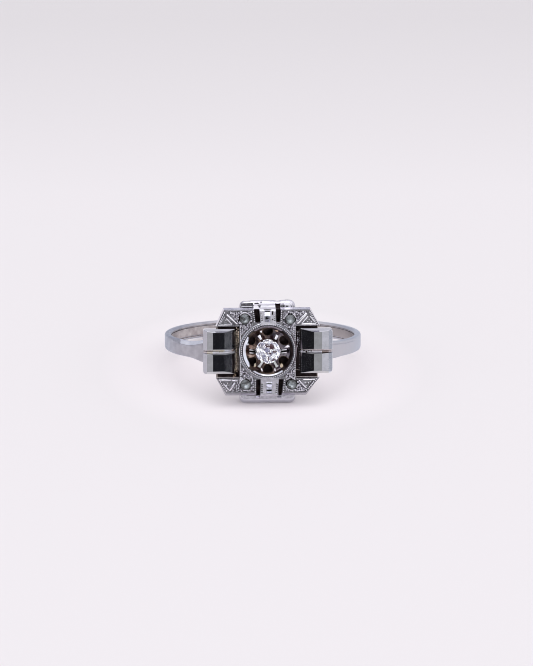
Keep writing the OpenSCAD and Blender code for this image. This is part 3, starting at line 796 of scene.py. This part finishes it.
# two pairs of side bars
bars = {
    # places along a bar: distance from the middle of the head and fall below its face
    "stations": {-1: ((3.03, 0.67), (3.98, 0.25), (5.04, 0.27), (5.58, 0.42), (5.92, 0.72)),
                 1: ((3.03, 0.73), (4.24, 0.25), (4.98, 0.265), (5.6, 0.431), (5.97, 0.56))},
    "half": 2.07, "pinch": 0.25, "low": 7.15, "base": 6.3, "groove": 0.21, "corner": 0.33, "edge": 0.035,
    # where a bar's looks change: a rougher end at the left painted darker, a painted highlight at the right
    # tip, a rougher upper wall painted darker, a brushed facet
    "dullPaintedDimEnd": -5.59, "rimEnd": 5.61, "wallFrom": 4.2, "brushed": (-3.95, -3.1), "tip": (5.9, 1.9),
    # inner ends painted dark as shade, up to this reach
    "darkEnd": {-1: 3.06, 1: 3.14},
    # rails between the bars: place across, half width and depth, and the looks from the head out
    "rails": {-1: ((0.15, 0.08, 0.06), (-0.05, 0.085, 0.02)), 1: ((0.16, 0.08, 0.0), (-0.03, 0.08, 0.04))},
    "railTones": {-1: ((5, 0, 3, 3), (5, 5, 0, 3)), 1: ((3, 3, 3, 3), (5, 5, 6, 3))},
    "grooveFloor": 0.36, "railEnd": 5.88,
    # drops of solder on the rails: place, size and look, look 1 being painted shade
    "drops": ((-3.2, 0.14, 0.13, 6), (-3.5, -0.06, 0.07, 5), (-3.72, 0.1, 0.06, 5), (-4.2, 0.05, 0.07, 2),
              (-4.4, 0.04, 0.07, 2), (3.1, -0.06, 0.1, 5), (3.34, 0.06, 0.08, 1), (3.56, -0.06, 0.09, 1),
              (3.78, 0.04, 0.07, 1), (3.98, 0.04, 0.07, 1), (3.02, 0.12, 0.09, 1))}


def barSolid(side, end):
    bm = bmesh.new()
    base, low, half, groove = bars["base"], bars["low"], bars["half"], bars["groove"]
    rows = []
    for x, drop in bars["stations"][side]:
        z = faceLevel - drop
        lean = (z - low) / (faceLevel - 0.25 - low)
        ring = [(base, half), (low, half), (z, half - bars["pinch"] * lean),
                (z, groove * (0.5 + 0.5 * lean)), (low, groove / 2), (base, groove / 2)]
        rows.append([bm.verts.new((side * x, end * w, h)) for h, w in ring])
    bridge(bm, rows)
    bmesh.ops.recalc_face_normals(bm, faces=bm.faces)
    farX, farY = bars["tip"]
    tip = [e for e in bm.edges if all(abs(v.co.x) > farX and abs(v.co.y) > farY for v in e.verts)]
    bevel(bm, tip, bars["corner"], 5)
    soften(bm, bars["edge"])
    return bm


def buildBars(side, name):
    bm = bmesh.new()
    for end in (-1, 1):
        merge(bm, barSolid(side, end))
    bm.normal_update()
    for f, middle in middles(bm):
        x, reach = middle.x, abs(middle.x)
        # painted shade at the inner ends, painted darker ends and walls, a painted highlight at the right
        # tips
        dullPaintedDim = x < bars["dullPaintedDimEnd"] or (f.normal.y > 0.35 and reach > bars["wallFrom"])
        f.material_index = 1 if dullPaintedDim else (2 if reach < bars["darkEnd"][side] else 0)
        if x > bars["rimEnd"] and f.normal.y < 0.35:
            f.material_index = 3
        if bars["brushed"][0] < x < bars["brushed"][1] and middle.y > 0 and f.normal.z > 0.8:
            f.material_index = 4
    addMetal(name, bm, ("polished bars", "painted dimmer metal", "dark recess", "bar rims", "brushed bar"), 3)


def buildRails():
    bm = bmesh.new()
    for side in (-1, 1):
        # the groove floor between the rails is painted dark: painted shade
        floor = (0.0, bars["groove"] - 0.01, bars["grooveFloor"])
        tones = ((1, 1, 1, 1),) + bars["railTones"][side]
        for (y, half, drop), looks in zip((floor,) + bars["rails"][side], tones):
            lift = min(0.03, half * 0.4)
            rows = []
            for x, fall in bars["stations"][side]:
                top = faceLevel - fall - drop
                ring = [(y - half, bars["base"]), (y - half, top - lift), (y - half + lift, top),
                        (y + half - lift, top), (y + half, top - lift), (y + half, bars["base"])]
                rows.append([bm.verts.new((side * min(x, bars["railEnd"]), w, h)) for w, h in ring])
            bridge(bm, rows, 0, looks)
    for x, y, size, look in bars["drops"]:
        fall = between(bars["stations"][1 if x > 0 else -1], abs(x))
        beads(bm, [(x, y, faceLevel - fall - 0.04)], size, look)
    looks = ("rail gold", "dark recess", "olive rail", "rose rail", "web gold", "strip gold", "brown rail")
    addMetal("bar_rails", bm, looks, 20)


# ledge and web that tie bars, plate and block together, each with its reach, half width and top
web = {
    "boxes": ((3.53, 1.82, 6.95), (4.62, 2.48, 6.75)), "from": 2.15, "base": 6.3, "pitch": 0.24,
    # rows of solder grains: place across, from y, to y, level and size
    "rows": ((-2.82, -1.9, 2.1, 7.0, 0.09), (-2.68, 0.9, 2.1, 7.45, 0.1), (-2.98, -2.2, -1.5, 7.0, 0.09),
             (2.73, 0.5, 1.8, 7.35, 0.06), (2.93, -1.8, 1.9, 7.0, 0.05)),
    "ends": ((-2.95, -2.2, 0.12), (-3.1, -2.3, 0.1), (2.78, 1.02, 0.12), (2.8, 0.85, 0.08)), "endLevel": 7.0,
    "edge": 0.06}


def buildWeb():
    bm = bmesh.new()
    for side in (-1, 1):
        for reach, half, top in web["boxes"]:
            part = bmesh.new()
            low, high = sorted((side * web["from"], side * reach))
            # the right web and the wide ledge are painted dark: painted shade
            box(part, (low, -half, web["base"]), (high, half, top), 2 if side > 0 or half > 2 else 0)
            soften(part, web["edge"])
            merge(bm, part)
    # the grains and end drops on the left carry warm painted glints
    for x, low, high, z, size in web["rows"]:
        for p in along((x, low), (x, high), web["pitch"]):
            place = (x + dice.uniform(-0.03, 0.03), p.y + dice.uniform(-0.04, 0.04), z)
            beads(bm, [place], size * dice.uniform(0.7, 1.2), 1 if x < 0 else 3)
    for x, y, size in web["ends"]:
        beads(bm, [(x, y, web["endLevel"])], size, 1 if x < 0 else 3)
    addMetal("under_web", bm, ("web gold", "painted warm glint", "dark recess", "grain gold"), 30)


# cup: beaded collar, polished rim, bowl with six round windows
cup = {
    "lift": 0.12, "collar": 2.64, "lip": 0.04, "beadRing": 2.45, "bead": 0.072, "beadCount": 82,
    "grooveOut": 2.55, "grooveIn": 2.35, "grooveDepth": 0.1, "grooveTop": 7.97, "rimOut": 2.31,
    "rimTop": 8.02, "rimLevel": 7.84, "steep": 2.26, "cut": 2.04, "foot": 6.7, "count": 180,
    "windowAt": 1.8, "window": 0.46, "windowFoot": 6.0, "windowTop": 7.76,
    "windowTurns": (31, 90, 149, 214, 270, 325),
    # the rim is painted brightest on the left, darker at the top and dimmer beyond; the steep wall and the
    # lip are painted dark as shade from these places on
    "brightTurns": (140, 225), "darkFrom": (0.6, 2.1),
    # bright cuts on the rim: from angle, to angle, share of the full cut
    "cuts": ((143, 221, 1.0), (230, 311, 0.34), (52, 128, 0.4)),
    "bowl": ((2.04, 7.82), (2.02, 7.7), (1.7, 7.44), (1.3, 7.16), (0.95, 6.98), (0.75, 6.92))}


def rimCut(angle):  # how far the rim is cut back at this angle in degrees
    most = 0.0
    for start, end, share in cup["cuts"]:
        edge = min(angle - start, end - angle)
        most = max(most, share * min(1.0, max(0.0, edge / 7)))
    return most


def windowCentres():
    return [polar(cup["windowAt"], radians(turn)) for turn in cup["windowTurns"]]


def buildCup():
    bm = bmesh.new()
    count, out, top = cup["count"], cup["rimOut"], cup["rimTop"]
    lip = faceLevel + cup["lip"]
    profile = [(cup["collar"], cup["foot"]), (cup["collar"], faceLevel), (cup["collar"] - 0.04, lip),
               (cup["grooveOut"], lip), (cup["grooveOut"], lip - cup["grooveDepth"]),
               (cup["grooveIn"], lip - cup["grooveDepth"]), (cup["grooveIn"], cup["grooveTop"]),
               (out + 0.02, top)]
    rings = [ringAt(bm, r, count, z) for r, z in profile]
    crest, low = [], []
    for k in range(count):
        angle = 360 * k / count
        t = radians(angle)
        inner = cup["steep"] + (cup["cut"] - cup["steep"]) * rimCut(angle)
        fall = (out - inner) * (top - cup["rimLevel"]) / (out - cup["cut"])
        crest += loopAt(bm, [polar(out, t)], top)
        low += loopAt(bm, [polar(inner, t)], top - fall)
    bowl = cup["bowl"] + ((cup["bowl"][-1][0], cup["foot"]),)
    rings += [crest, low] + [ringAt(bm, r, count, z) for r, z in bowl]
    # the collar's groove and outer wall are painted dark as shade, and the band below the rim takes painted
    # shadow
    looks = [2, 0, 0, 2, 2, 2, 0, 0, 0, 4] + [1] * len(bowl)
    for a, b, look in zip(rings, rings[1:] + rings[:1], looks):
        skin(bm, a, b, look)
    for f, middle in middles(bm):  # the rim's cuts are painted by angle: brightest on the left, painted darker at the top and dimmer beyond; uncut faces take painted shade
        r, angle = hypot(middle.x, middle.y), degrees(atan2(middle.y, middle.x)) % 360
        if r < out - 0.01 and f.material_index == 0:
            bright = 3 if angle < cup["brightTurns"][0] else (0 if angle < cup["brightTurns"][1] else 6)
            f.material_index = 4 if rimCut(angle) < 0.2 else bright
        if f.material_index == 4 and middle.x > cup["darkFrom"][0]:
            f.material_index = 5
        if middle.x > cup["darkFrom"][1] and r > cup["grooveOut"]:
            f.material_index = 3
    bmesh.ops.dissolve_degenerate(bm, dist=1e-5, edges=bm.edges)
    cutter = bmesh.new()
    for middle in windowCentres():
        prism(cutter, circlePoints(cup["window"], 36, middle), cup["windowFoot"], cup["windowTop"])
    bm = carved(bm, cutter)
    bm.transform(Matrix.Translation((0, cup["lift"], 0)))
    looks = ("rim cut", "bowl gold", "trench gold", "rim top", "shadow gold", "dark recess", "low rim")
    addMetal("cup_shell", bm, looks, 22)


def buildCollarBeads():
    bm = bmesh.new()
    spots = circlePoints(cup["beadRing"], cup["beadCount"], (0, cup["lift"]))
    beads(bm, [(x, y, faceLevel + cup["lip"]) for x, y in spots], cup["bead"])
    addMetal("collar_milgrain", bm, ("bead gold",), 60)


windowRims = {"wire": 0.024, "sides": 6, "steps": 40}


def bowlHeight(r):
    table = sorted(cup["bowl"])
    return between([(0.0, table[0][1])] + table + [(2.4, 7.95)], r)


def buildWindowRims():  # thin edges round the windows, painted brown as shade
    bm = bmesh.new()
    wire = windowRims["wire"]
    for centre in windowCentres():
        rings = []
        for x, y in circlePoints(1, windowRims["steps"]):
            out = Vector((x, y, 0))
            p = Vector((*centre, 0)) + out * (cup["window"] + 0.01)
            p.z = min(bowlHeight(hypot(p.x, p.y)), cup["windowTop"] - 0.03) + 0.005
            p.y += cup["lift"]
            section = circlePoints(wire, windowRims["sides"])
            rings.append([bm.verts.new(p + out * side + Vector((0, 0, up))) for side, up in section])
        for a, b in zip(rings, rings[1:] + rings[:1]):
            skin(bm, a, b)
    addMetal("window_rims", bm, ("painted window shade",), 50)


# raised facets of the bowl between its windows, carrying painted highlights and painted reflections: look,
# slope across, slope upwards, and corners measured from the cup's middle
facets = {"lift": 0.06, "thick": 0.03, "places": (
    (0, -0.17, 0.0, ((-1.96, 0.5), (-1.87, 0.34), (-1.6, 0.15), (-1.1, 0.13), (-1.1, 0.36), (-1.5, 0.5),
                     (-1.74, 0.58))),
    (0, -0.17, 0.0, ((-2.0, -0.38), (-1.92, -0.7), (-1.64, -0.68), (-1.28, -0.62), (-1.1, -0.44),
                     (-1.64, -0.36))),
    (1, -0.2, -0.2, ((-1.98, 0.66), (-1.9, 0.5), (-1.74, 0.56), (-1.8, 0.74))),
    (1, 0.3, -0.5, ((1.46, 0.26), (1.82, 0.26), (2.0, 0.36), (2.0, 0.62), (1.72, 0.46))),
    (2, 0.2, -0.5, ((1.1, -1.52), (1.27, -1.6), (1.44, -1.44), (1.3, -1.16), (1.14, -1.24))),
    (2, -0.4, -0.3, ((-1.28, -1.52), (-1.06, -1.46), (-1.06, -1.14), (-1.26, -1.2))),
    (1, -0.3, -0.5, ((-0.68, -1.7), (-0.56, -1.95), (-0.46, -1.9), (-0.52, -1.62), (-0.62, -1.6))),
    (1, 0.3, -0.5, ((0.54, -1.66), (0.6, -1.9), (0.74, -1.94), (0.7, -1.64))),
    (1, 0.0, -0.45, ((-0.78, 1.86), (-0.66, 1.66), (-0.54, 1.7), (-0.54, 1.92), (-0.66, 1.94))),
    (0, 0.0, -0.4, ((0.64, 1.84), (0.84, 1.74), (1.02, 1.88), (0.66, 2.02))))}


def buildFacets():
    bm = bmesh.new()
    for look, acrossSlope, upSlope, outline in facets["places"]:
        middle = sum((Vector(p) for p in outline), Vector((0, 0))) / len(outline)
        height = bowlHeight(middle.length) + facets["lift"]
        rings = []
        for shrink, drop in ((0.0, 0.3), (0.0, 0.0), (-0.02, -facets["thick"])):
            ring = []
            for x, y in grow(list(outline), shrink):
                z = height - drop + acrossSlope * (x - middle.x) + upSlope * (y - middle.y)
                ring.append(bm.verts.new((x, y + cup["lift"], z)))
            rings.append(ring)
        bridge(bm, rings, look)
    bmesh.ops.triangulate(bm, faces=[f for f in bm.faces if len(f.verts) > 4])
    addMetal("cup_facets", bm, ("painted beige reflection", "bright facet", "painted warm glint"), 30)


# six prongs: the two level ones are grooved, the others are plain and flare outwards
prong = {
    "width": 0.42, "groove": 0.19, "deep": 0.3, "narrow": 0.34, "flare": 0.5,
    "back": ((1.05, 8.13), (1.14, 8.19), (1.3, 8.12), (1.5, 8.0), (1.7, 7.86)),
    "belly": ((1.05, 8.06), (1.17, 8.02), (1.17, 7.18), (1.3, 7.14), (1.72, 7.2))}


def buildProngs():
    bm = bmesh.new()
    first, last = prong["back"][0][0], prong["back"][-1][0]
    cut = prong["groove"] / 2
    for k in range(6):
        part = bmesh.new()
        level = k % 3 == 0
        rows = []
        for (x, top), (xb, bottom) in zip(prong["back"], prong["belly"]):
            reach = (x - first) / (last - first)
            h = prong["width"] / 2 * (1.0 if level else prong["narrow"] + prong["flare"] * reach)
            crest = top - (prong["deep"] if x > 1.1 else 0.03) if level else top + 0.025
            rows.append([part.verts.new(p) for p in (
                (xb, -h, bottom), (xb, h, bottom), (x, h, top - 0.07), (x, h - 0.04, top), (x, cut, top),
                (x, 0, crest), (x, -cut, top), (x, -h + 0.04, top), (x, -h, top - 0.07))])
        # the two upper prongs are painted dark at their inner halves and the two lower ones painted dimmer:
        # painted shade
        bridge(part, rows, 0, ((1, 1, 0, 0) if k in (1, 2) else [2 if k > 3 else 0] * 4))
        for f in part.faces:  # walls of the groove painted dark: painted shade
            if level and len(f.verts) == 4 and any(row[5] in f.verts for row in rows):
                f.material_index = 1
        bmesh.ops.rotate(part, verts=part.verts, matrix=Matrix.Rotation(radians(60 * k), 3, "Z"))
        bmesh.ops.translate(part, verts=part.verts, vec=(0, cup["lift"] - 0.02, 0))
        merge(bm, part)
    addMetal("six_prongs", bm, ("bead gold", "dark recess", "painted dim prongs"), 30)


# channel strips above (1) and below (-1) the cup
strips = {
    "rise": 0.08, "foot": 6.9, "near": {1: 2.5, -1: 2.36}, "stone": 0.26, "bead": 0.062, "pitch": 0.18,
    "trench": 0.07, "beadFrom": 2.86, "beadIn": 0.13,
    # ends of the flat top and of the slope, and level at the end of the slope
    "reach": {1: (3.86, 4.42, 7.06), -1: (3.96, 4.12, 7.7)}, "endX": {1: (-0.56, 0.68), -1: (-0.7, 0.96)},
    "slopeSteps": (0.22, 0.42, 0.7, 0.84, 1.0), "edge": 0.035, "seat": (0.05, 0.45), "pitDepth": 0.06,
    "stoneX": {1: -0.06, -1: 0.1}, "stoneRows": {1: (3.08, 3.62), -1: (2.98, 3.54)},
    # pits beside the stones, painted dark as shade: place and size
    "pits": {1: ((0.4, 3.63, 0.12, 0.34), (0.4, 3.04, 0.12, 0.14)), -1: ()}}


def stripOutline(sy, reach):
    left, right = slotPair(sy)
    sides = [(slotSides(left, sy * y)[1], slotSides(right, sy * y)[0]) for y in (strips["near"][sy], reach)]
    if reach == strips["reach"][sy][1]:
        sides[1] = strips["endX"][sy]
    (a, b), (c, d) = sides
    near, far = sy * strips["near"][sy], sy * reach
    points = [(a, near), (b, near), (d, far), (c, far)]
    return points if sy > 0 else points[::-1]


def buildStrips():
    bm = bmesh.new()
    level = faceLevel + strips["rise"]
    for sy in (1, -1):
        base = 0 if sy > 0 else 4
        crest, end, low = strips["reach"][sy]
        rim, last = stripOutline(sy, crest + 0.02), stripOutline(sy, end)
        flat = grow(stripOutline(sy, crest), -strips["edge"])
        loops = [loopAt(bm, flat, level), loopAt(bm, rim, level - 0.04)]
        for t in strips["slopeSteps"]:
            middle = [(p[0] + (q[0] - p[0]) * t, p[1] + (q[1] - p[1]) * t) for p, q in zip(rim, last)]
            loops.append(loopAt(bm, middle, level - 0.04 + (low - level + 0.04) * t))
        loops.append(loopAt(bm, last, strips["foot"]))
        for k, (a, b) in enumerate(zip(loops, loops[1:])):
            # two bands of the upper strip's slope are painted dimmer: painted shade
            skin(bm, a, b, 3 if k in (2, 4) and sy > 0 else base)
        cover(bm, [loops[-1]])
        holes = []
        for row in strips["stoneRows"][sy]:
            size = strips["stone"] * 2
            square = roundedRect(size, size, 0.03, 2, (strips["stoneX"][sy], sy * row))
            holes.append(loopAt(bm, grow(square, 0.01), level))
            # the stone seats are painted dark inside: painted shade
            drop, depth = strips["seat"]
            skin(bm, holes[-1], sink(bm, square, level - drop, depth), base)
        for x, y, wide, high in strips["pits"][sy]:
            holes.append(sink(bm, roundedRect(wide, high, 0.04, 3, (x, y)), level, strips["pitDepth"]))
        rows = []
        for k, slot in enumerate(slotPair(sy)):  # beaded edges of the channel, in trenches painted dark as shade
            shift = strips["beadIn"] * (1 if k == 0 else -1)
            ends = (sy * strips["beadFrom"], sy * (crest - 0.14))
            a, b = [Vector((slotSides(slot, y)[1 - k] + shift, y)) for y in ends]
            holes.append(sink(bm, lineOutline(a, b, 2.3 * strips["bead"]), level, strips["trench"]))
            rows.append((a, b))
        cover(bm, [loops[0]] + holes, base)
        for a, b in rows:
            beads(bm, [(p.x, p.y, level) for p in along(a, b, strips["pitch"])], strips["bead"], 2)
    addMetal("channel_strips", bm, ("strip gold", "dark recess", "bead gold", "painted dim wall", "low strip"), 20)


# stones
centreCut = {
    "radius": 1.12, "girdle": 7.98, "at": (-0.03, 0.1), "turn": 14, "thick": 0.05, "table": 0.56,
    "kite": 0.8, "kiteRise": 0.58, "crown": 0.36, "depth": 0.98, "lower": 0.24}


def buildCentreStone():
    bm = bmesh.new()
    r, z, lower = centreCut["radius"], centreCut["girdle"], centreCut["lower"]
    top, crown, depth = z + centreCut["thick"], centreCut["crown"], centreCut["depth"]
    table = ringAt(bm, r * centreCut["table"], 8, top + crown)
    kites = ringAt(bm, r * centreCut["kite"], 8, top + crown * centreCut["kiteRise"], start=22.5)
    over = ringAt(bm, r, 32, top)
    under = ringAt(bm, r, 32, z)
    halves = ringAt(bm, r * lower, 8, z - depth * (1 - lower * 0.93), start=22.5)
    culet = bm.verts.new((0, 0, z - depth))
    face(bm, table)
    skin(bm, over, under)
    for k in range(8):
        g = [over[(4 * k + i) % 32] for i in range(5)]
        d = [under[(4 * k + i) % 32] for i in range(5)]
        face(bm, (table[k], table[(k + 1) % 8], kites[k]))
        face(bm, (table[k], kites[k], g[0], kites[k - 1]))
        face(bm, (kites[k], g[0], g[1], g[2]))
        face(bm, (kites[k], g[2], g[3], g[4]))
        face(bm, (halves[k], d[0], d[1], d[2]), 1)
        face(bm, (halves[k], d[2], d[3], d[4]), 1)
        face(bm, (halves[k - 1], d[0], halves[k], culet), 1)
    bmesh.ops.triangulate(bm, faces=[f for f in bm.faces if len(f.verts) == 4])
    turn = Matrix.Rotation(radians(centreCut["turn"]), 4, "Z")
    bm.transform(Matrix.Translation((*centreCut["at"], 0)) @ turn)
    piece = addPiece("centre_brilliant", bm, stoneSkins["centre"], 2)
    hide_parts("centre_stone")


cornerCut = {
    "radius": 0.45, "girdle": 7.95, "table": 0.225, "crown": 0.12, "edge": 0.04, "depth": 0.34, "turn": 9}


def buildCornerStones():
    r, z = cornerCut["radius"], cornerCut["girdle"]
    for k, spot in enumerate(plate["stoneAt"]):
        bm = bmesh.new()
        turn = cornerCut["turn"] * k
        table = ringAt(bm, cornerCut["table"], 8, z + cornerCut["crown"], spot, 22.5 + turn)
        upper = ringAt(bm, r, 16, z, spot, turn)
        lower = ringAt(bm, r, 16, z - cornerCut["edge"], spot, turn)
        culet = bm.verts.new((*spot, z - cornerCut["depth"]))
        face(bm, table)
        skin(bm, upper, lower)
        for i in range(8):
            a, b, c = [upper[(2 * i + j) % 16] for j in range(3)]
            d, e, f = [lower[(2 * i + j) % 16] for j in range(3)]
            face(bm, (table[i], table[i - 1], a))
            face(bm, (table[i], a, b))
            face(bm, (table[i], b, c))
            face(bm, (d, e, culet), 1)
            face(bm, (e, f, culet), 1)
        piece = addPiece("corner_single_cut_%d" % (k + 1), bm, stoneSkins["corner"], 2)
        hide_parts("corner_stone_%d" % (k + 1))


squareCut = {
    "half": 0.25, "girdle": 7.94, "rise": (0.05, 0.08), "in": (0.05, 0.1), "edge": 0.04, "depth": 0.34,
    # half length, half width and place of the keel of each stone, and its looks
    "keels": ((0.2, 0.06, 0.1), (0.12, 0.07, 0.02), (0.16, 0.045, 0.04), (0.2, 0.07, -0.02)),
    "tones": ("pale square", "grey square", "soft square", "soft square")}


def buildSquareStones():
    rows, h, z = strips["stoneRows"], squareCut["half"], squareCut["girdle"]
    places = [(1, row) for row in rows[1][::-1]] + [(-1, row) for row in rows[-1]]
    for k, (sy, row) in enumerate(places):
        x, y = strips["stoneX"][sy], sy * row
        bm = bmesh.new()
        long, wide, shift = squareCut["keels"][k]
        upper, step = [h - size for size in squareCut["in"][::-1]], squareCut["rise"]
        levels = [(upper[0], upper[0], 0, z + step[1]), (upper[1], upper[1], 0, z + step[0]), (h, h, 0, z),
                  (h, h, 0, z - squareCut["edge"]), (long, wide, shift, z - squareCut["depth"] * 0.8)]
        loops = []
        for w, v, up, level in levels:
            low, high = y + up - v, y + up + v
            loops.append(loopAt(bm, [(x - w, low), (x + w, low), (x + w, high), (x - w, high)], level))
        for i, (a, b) in enumerate(zip(loops, loops[1:])):
            skin(bm, a, b, 1 if i > 2 else 0)
        face(bm, loops[0])
        face(bm, loops[-1], 2)
        for f, middle in middles(bm):  # the third stone's upper wall carries a painted highlight
            if k == 2 and f.material_index == 1 and middle.y > y + 0.08:
                f.material_index = 3
        # the stones' undersides are painted dark: painted shade
        backs = [stoneSkins[kind][1] for kind in ("dark square", "pale square")]
        looks = stoneSkins[squareCut["tones"][k]] + backs
        piece = addPiece("square_cut_%d" % (k + 1), bm, looks, 2)
        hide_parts("square_stone_%d" % (k + 1))


buildHoop()
print("ring: hoop done")
buildBlock()
buildPlate()
buildTriangles()
buildMilgrain()
buildGrains()
print("ring: block and plate done")
buildBars(-1, "bars_left")
buildBars(1, "bars_right")
buildRails()
buildWeb()
print("ring: side bars done")
buildCup()
buildCollarBeads()
buildWindowRims()
buildFacets()
buildProngs()
buildStrips()
print("ring: cup, prongs and strips done")
buildCentreStone()
buildCornerStones()
buildSquareStones()
print("ring: stones done")


# floor, light and camera
studio = {
    # near the ring the floor is painted lighter and warmer, painted light that fills the ring's shadow
    "floorTone": (0.76, 0.74, 0.757), "nearPaintedLight": (0.915, 0.868, 0.896), "paintedLightReach": (0.006, 0.0155),
    "floorSize": 0.6, "overhead": (0.96, 0.95, 1.0), "below": (0.8, 0.79, 0.81), "behind": (0.8, 0.77, 0.81),
    "softbox": 0.3, "softboxHeight": 0.4, "softboxPower": 0.26, "ambientFront": (1.62, 1.6, 1.63),
    "ambientBack": (0.5, 0.49, 0.5), "lowBand": (0.42, 0.66),
    # painted falloff of the floor's light: share left at each distance behind the ring, in metres
    "fall": ((-0.07, 1.0), (0.004, 0.985), (0.047, 0.97), (0.073, 0.915), (0.107, 0.855)),
    # colour of the room near the horizon, by direction: 0 is straight in front of the head
    "room": ((-180, (0.52, 0.53, 0.62)), (-120, (0.6, 0.6, 0.66)), (-92, (0.62, 0.62, 0.68)),
             (-77, (0.56, 0.56, 0.63)), (-72, (0.2, 0.18, 0.2)), (-66, (0.05, 0.035, 0.04)),
             (-50, (0.011, 0.011, 0.014)), (-37, (0.011, 0.011, 0.014)), (-33, (0.46, 0.45, 0.48)),
             (-20, (0.42, 0.41, 0.44)), (-13, (0.02, 0.02, 0.025)), (2.2, (0.013, 0.013, 0.017)),
             (4.8, (0.36, 0.36, 0.38)), (12, (0.4, 0.4, 0.41)), (19, (0.5, 0.5, 0.52)),
             (24, (0.62, 0.61, 0.68)), (41, (0.64, 0.63, 0.7)), (45, (0.028, 0.028, 0.036)),
             (53, (0.028, 0.028, 0.036)), (58, (0.75, 0.75, 0.8)), (72, (0.95, 0.95, 1.0)),
             (110, (0.8, 0.8, 0.86)), (180, (0.56, 0.57, 0.66)))}


def colourRamp(tree, share, table):  # colours from a table of places and colours
    ramp = addNode(tree, "ValToRGB", {"Fac": share})
    stops = ramp.color_ramp.elements
    low, high = table[0][0], table[-1][0]
    for place, colour in table[1:-1]:
        stops.new((place - low) / (high - low))
    for stop, (place, colour) in zip(stops, table):
        stop.color = (*colour, 1)
    return ramp.outputs["Color"]


def buildFloor():
    bm = bmesh.new()
    face(bm, ringAt(bm, studio["floorSize"], 64, 0))
    mesh = bpy.data.meshes.new("floor")
    bm.to_mesh(mesh)
    bm.free()
    floor = bpy.data.objects.new("floor", mesh)
    scene.collection.objects.link(floor)
    material, tree, surface = blank("white paper")
    where = addNode(tree, "TexCoord", {}).outputs["Object"]
    apart = addNode(tree, "SeparateXYZ", {0: where})
    # painted light: the floor is darker further behind the ring and lighter near it
    table = [(place, (share, share * 0.998, share * 1.004)) for place, share in studio["fall"]]
    fall = colourRamp(tree, spread(tree, apart.outputs["Y"], table[0][0], table[-1][0]), table)
    length = addNode(tree, "VectorMath", {0: where}, operation="LENGTH")
    far = spread(tree, length.outputs["Value"], *studio["paintedLightReach"])
    tint = blendColours(tree, far, studio["nearPaintedLight"], studio["floorTone"])
    both = addNode(tree, "VectorMath", {0: tint, 1: fall}, operation="MULTIPLY")
    fill(tree, surface, {"Base Color": both.outputs["Vector"], "Roughness": 0.9, "Specular IOR Level": 0.1})
    mesh.materials.append(material)


def buildRoomLight():
    world = bpy.data.worlds.new("studio")
    scene.world = world
    world.use_nodes = True
    tree = world.node_tree
    tree.nodes.clear()
    way = addNode(tree, "SeparateXYZ", {0: addNode(tree, "TexCoord", {}).outputs["Generated"]})
    forward = addNode(tree, "Math", {0: way.outputs["Y"], 1: -1}, operation="MULTIPLY")
    bearing = addNode(tree, "Math", {0: way.outputs["X"], 1: forward.outputs[0]}, operation="ARCTAN2")
    room = colourRamp(tree, spread(tree, bearing.outputs[0], -pi, pi), studio["room"])
    above = blendColours(tree, spread(tree, way.outputs["Z"], *studio["lowBand"]), room, studio["overhead"])
    lit = blendColours(tree, spread(tree, way.outputs["Z"], -0.01, 0, 1, 0), above, studio["below"])
    path = addNode(tree, "LightPath", {})
    ambient = blendColours(tree, spread(tree, way.outputs["Y"], -0.7, 0.7), studio["ambientFront"],
                           studio["ambientBack"])
    soft = blendColours(tree, path.outputs["Is Diffuse Ray"], lit, ambient)
    seen = blendColours(tree, path.outputs["Is Camera Ray"], soft, studio["behind"])
    glow = addNode(tree, "Background", {"Color": seen})
    addNode(tree, "OutputWorld", {"Surface": glow.outputs[0]})


def buildSoftbox():
    light = bpy.data.lights.new("softbox", "AREA")
    light.shape = "SQUARE"
    light.size = studio["softbox"]
    light.energy = studio["softboxPower"]
    light.color = (1, 0.99, 1)
    lamp = bpy.data.objects.new("softbox", light)
    lamp.location = (0, 0.0, studio["softboxHeight"])
    scene.collection.objects.link(lamp)


shot = {
    "distance": 300, "azimuth": -3.6, "aboveRing": 8.3, "aimRight": 0.35, "aimUp": 0.63,
    "pixelsPerMm": 10.64, "frameHeight": 666, "sensor": 36}


def buildCamera():
    az, el = radians(shot["azimuth"]), radians(shot["aboveRing"])
    away = Vector((cos(el) * sin(az), sin(el), cos(el) * cos(az)))
    right = Vector((cos(az), 0, -sin(az)))
    up = away.cross(right)
    aim = right * shot["aimRight"] + up * shot["aimUp"]
    turn = upright.to_3x3()
    facing = Matrix([turn @ right, turn @ up, turn @ away]).transposed()
    camera = bpy.data.objects.new("camera", bpy.data.cameras.new("camera"))
    camera.data.lens = shot["sensor"] * shot["pixelsPerMm"] * shot["distance"] / shot["frameHeight"]
    camera.data.clip_start, camera.data.clip_end = 0.01, 5
    camera.matrix_world = Matrix.Translation(ringToRow @ (aim + away * shot["distance"])) @ facing.to_4x4()
    scene.collection.objects.link(camera)
    scene.camera = camera


buildFloor()
buildRoomLight()
buildSoftbox()
buildCamera()
scene.view_settings.view_transform = "Standard"
scene.cycles.filter_width = 1.0
print("ring: floor, light and camera done")
